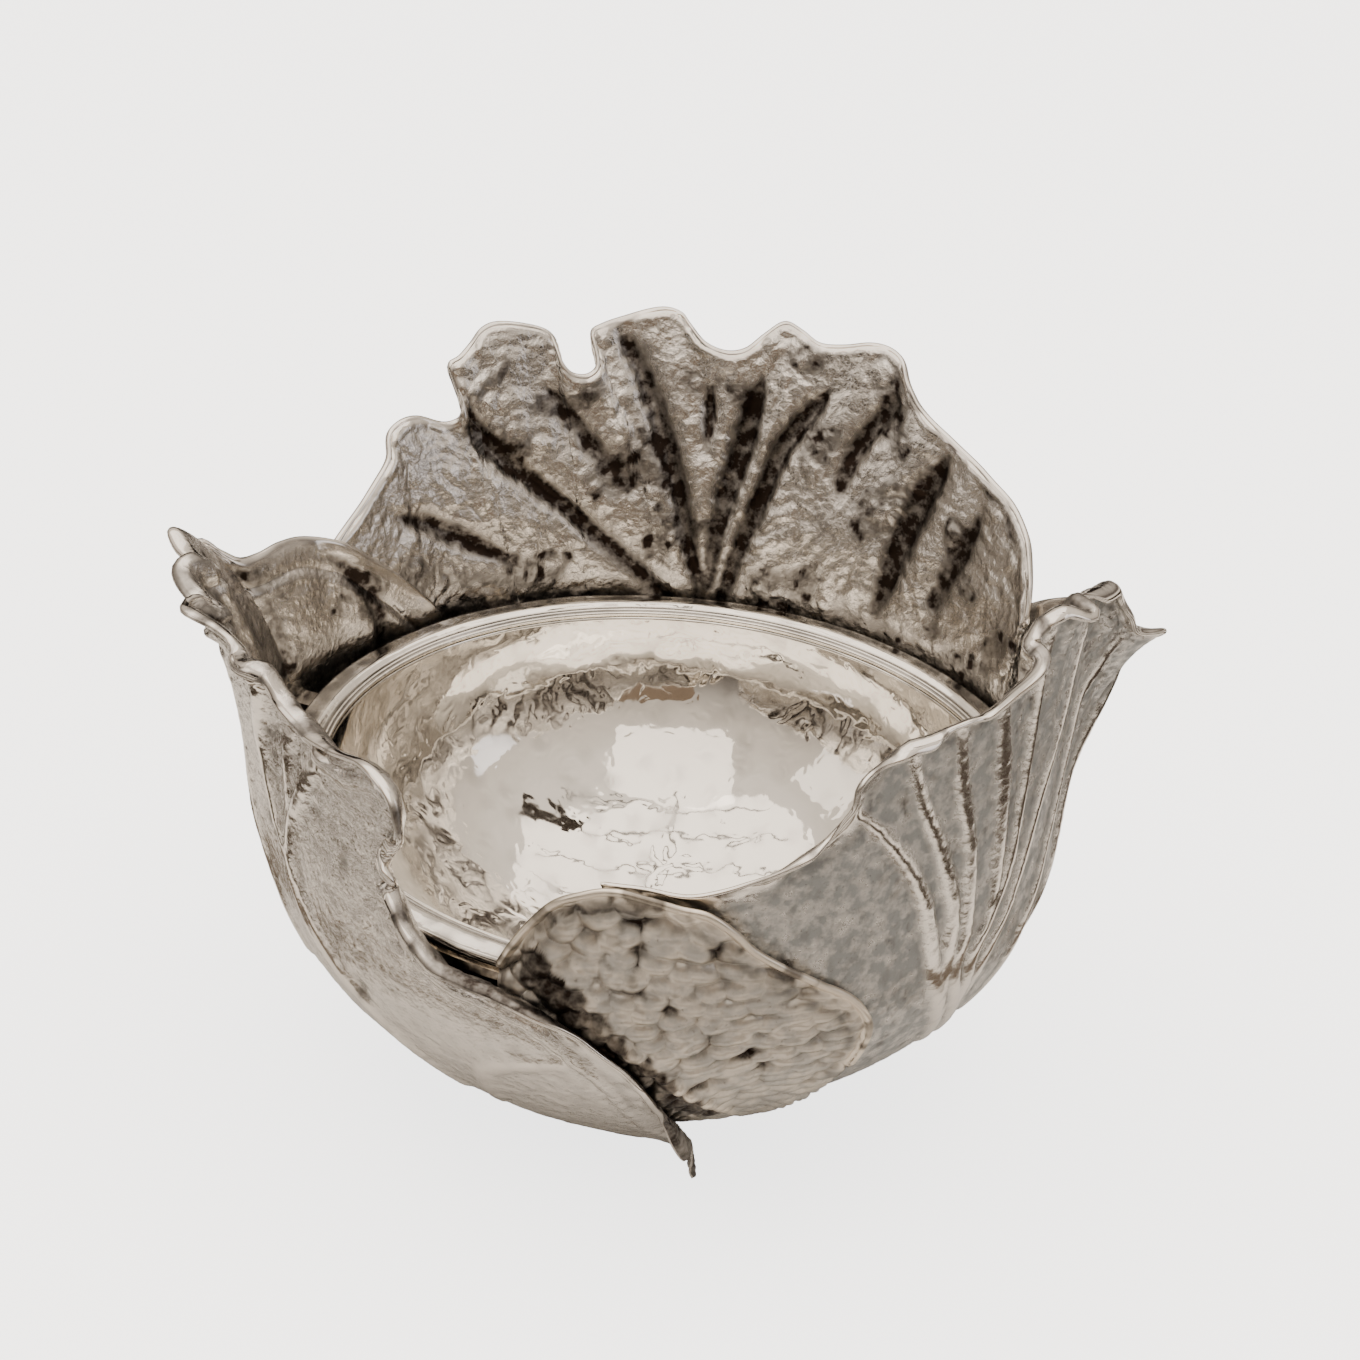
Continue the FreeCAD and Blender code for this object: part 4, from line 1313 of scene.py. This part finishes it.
MATS = (
    Mat("mat_near", 0.165, 0.205, "6B635B"),
    Mat("mat_middle", 0.27, 0.37),
    Mat("mat_far", 0.55, 1.1),
)


@dataclass
class Studio:
    """Pale floor, soft boxes, dark cards that the silver mirrors, and the camera."""

    lens_mm: float = 134.3
    sensor_mm: float = 36.0
    distance: float = 1500.0
    elevation: float = 29.735
    roll: float = 4.296
    target: Place = (1.73, 0.0, 128.5)
    floor_reach: float = 6.0
    floor_glow: float = 2.8
    mat_height: float = 0.002
    mat_sides: int = 96
    sky: tuple[tuple[float, str], ...] = (
        (0.0, "6B635C"), (0.10, "453E39"), (0.28, "8F867C"), (0.5, "BFB3A5"), (1.0, "F0E4D6"))
    sky_strength: float = 1.6
    paper_strength: float = 5.0

    def add_camera(self) -> None:
        """Put the camera in front, above, and rolled a little to its left."""
        data = bpy.data.cameras.new("camera")
        data.lens, data.sensor_width = self.lens_mm, self.sensor_mm
        data.clip_start, data.clip_end = 0.05, 40.0
        camera = add_object("camera", data)
        tilt = math.radians(self.elevation)
        back = Vector((0.0, -math.cos(tilt), math.sin(tilt)))
        level = back.to_track_quat("Z", "Y").to_matrix().to_4x4()
        rolled = Matrix.Rotation(math.radians(self.roll), 4, back) @ level
        camera.matrix_world = Matrix.Translation((Vector(self.target) + back * self.distance) * MM) @ rolled
        bpy.context.scene.camera = camera

    def add_floor(self) -> None:
        """Lay a plain pale floor, which glows for the camera only."""
        mesh = bpy.data.meshes.new("floor")
        reach = self.floor_reach
        corners = [(-reach, -reach, 0), (reach, -reach, 0), (reach, reach, 0), (-reach, reach, 0)]
        mesh.from_pydata(corners, [], [(0, 1, 2, 3)])
        material = bpy.data.materials.new("pale_floor_paint")
        material.use_nodes = True
        tree = material.node_tree
        shader = tree.nodes["Principled BSDF"]
        shader.inputs["Base Color"].default_value = linear(PAPER)
        shader.inputs["Roughness"].default_value = 0.9
        shader.inputs["Specular IOR Level"].default_value = 0.1
        shader.inputs["Emission Color"].default_value = linear("FFFFFF")
        seen = add_node(tree, "LightPath").outputs["Is Camera Ray"]
        tree.links.new(maths(tree, "MULTIPLY", seen, self.floor_glow), shader.inputs["Emission Strength"])
        mesh.materials.append(material)
        add_object("floor", mesh)

    def add_card(self, card: Card) -> None:
        """Hang a card that only the silver sees.

        Args:
            card: its place, size and colour.
        """
        mesh = bpy.data.meshes.new(card.name)
        w, h = card.width / 2, card.height / 2
        mesh.from_pydata([(-w, -h, 0), (w, -h, 0), (w, h, 0), (-w, h, 0)], [], [(0, 1, 2, 3)])
        aim = (BOWL_CENTRE - Vector(card.place)).to_track_quat("Z", "Y").to_matrix().to_4x4()
        mesh.transform(Matrix.Translation(card.place) @ aim)
        self.add_felt(card.name, mesh, card.colour)

    def add_mat(self, mat: Mat) -> None:
        """Lay a round mat that only the silver sees: two circles joined by four-sided faces.

        Args:
            mat: its radii and colour.
        """
        angle = np.linspace(0, 2 * np.pi, self.mat_sides, endpoint=False)
        height = np.full(self.mat_sides, self.mat_height)
        rings = [np.stack([radius * np.cos(angle), radius * np.sin(angle), height], -1)
                 for radius in (mat.outer, mat.inner)]
        faces = grid_faces(len(rings), self.mat_sides, False, True)[:, ::-1]
        mesh = bpy.data.meshes.new(mat.name)
        mesh.from_pydata(np.concatenate(rings).tolist(), [], faces.tolist())
        self.add_felt(mat.name, mesh, mat.colour)

    def add_felt(self, name: str, mesh: bpy.types.Mesh, colour: str) -> None:
        """Cover a card or mat with felt and hide it from all but the silver's reflections.

        Args:
            name: its name.
            mesh: its shape.
            colour: sRGB hex colour of the felt.
        """
        material = bpy.data.materials.new(name + "_felt")
        material.use_nodes = True
        shader = material.node_tree.nodes["Principled BSDF"]
        shader.inputs["Base Color"].default_value = linear(colour)
        shader.inputs["Roughness"].default_value = 1.0
        shader.inputs["Specular IOR Level"].default_value = 0.0
        mesh.materials.append(material)
        card = add_object(name, mesh)
        card.visible_camera = False
        card.visible_shadow = False
        card.visible_diffuse = False

    def add_light(self, box: SoftBox) -> None:
        """Hang a soft box aimed at the bowl.

        Args:
            box: its place, size, power and colour.
        """
        data = bpy.data.lights.new(box.name, "AREA")
        data.shape = "RECTANGLE"
        data.size, data.size_y = box.size
        data.energy = box.power
        data.color = linear(box.colour)[:3]
        light = add_object(box.name, data)
        light.location = box.place
        light.rotation_mode = "QUATERNION"
        light.rotation_quaternion = (Vector(box.place) - BOWL_CENTRE).to_track_quat("Z", "Y")

    def add_world(self) -> None:
        """Fill the room with soft light: pale above, dim brown round the horizon."""
        world = bpy.data.worlds.new("studio")
        world.use_nodes = True
        tree = world.node_tree
        tree.nodes.clear()
        way = add_node(tree, "SeparateXYZ", {}, {0: add_node(tree, "TexCoord").outputs["Generated"]})
        ramp = add_node(tree, "ValToRGB", {}, {"Fac": way.outputs["Z"]})
        ramp.color_ramp.elements[0].color = linear(self.sky[0][1])
        ramp.color_ramp.elements[1].color = linear(self.sky[-1][1])
        for place, colour in self.sky[1:-1]:
            ramp.color_ramp.elements.new(place).color = linear(colour)
        seen = add_node(tree, "LightPath").outputs["Is Camera Ray"]
        tint = blend(tree, seen, ramp.outputs["Color"], linear(PAPER))
        strength = Span(0.0, 1.0, self.sky_strength, self.paper_strength, "LINEAR").carry(tree, seen)
        background = add_node(tree, "Background", {}, {"Color": tint, "Strength": strength})
        add_node(tree, "OutputWorld", {}, {"Surface": background.outputs[0]})
        bpy.context.scene.world = world

    def build(self) -> None:
        """Set up the whole room."""
        self.add_camera()
        self.add_floor()
        self.add_world()
        for box in SOFT_BOXES:
            self.add_light(box)
        for card in CARDS:
            self.add_card(card)
        for mat in MATS:
            self.add_mat(mat)


def dress(nodes: dict[str, bpy.types.Object], names: tuple[str, ...], finish: bpy.types.Material) -> None:
    """Give carried-over CAD nodes their finish.

    Args:
        nodes: frame's nodes by name.
        names: nodes to dress.
        finish: their material.
    """
    for name in names:
        nodes[name].data.materials.clear()
        nodes[name].data.materials.append(finish)
        LOG.info("%s: kept from the frame", name)


def main() -> None:
    """Build the leaves and the liner round the frame, dress the rest and set up the room."""
    logging.basicConfig(level=logging.INFO, format="%(name)s: %(message)s")
    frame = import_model()
    finishes = Finishes()
    for leaf in (BACK_LEAF, LEFT_LEAF, RIGHT_LEAF):
        leaf.build(finishes.leaf)
    FRONT_LEAF.build(finishes.matted)
    liner = Liner()
    liner.build_bowl(finishes.liner)
    liner.build_rim(finishes.liner)
    dress(frame["nodes"], ("seat_ring", "seat_brackets", "base_cup", "foot_ring"), finishes.plain)
    Studio().build()


if __name__ == "__main__":
    main()
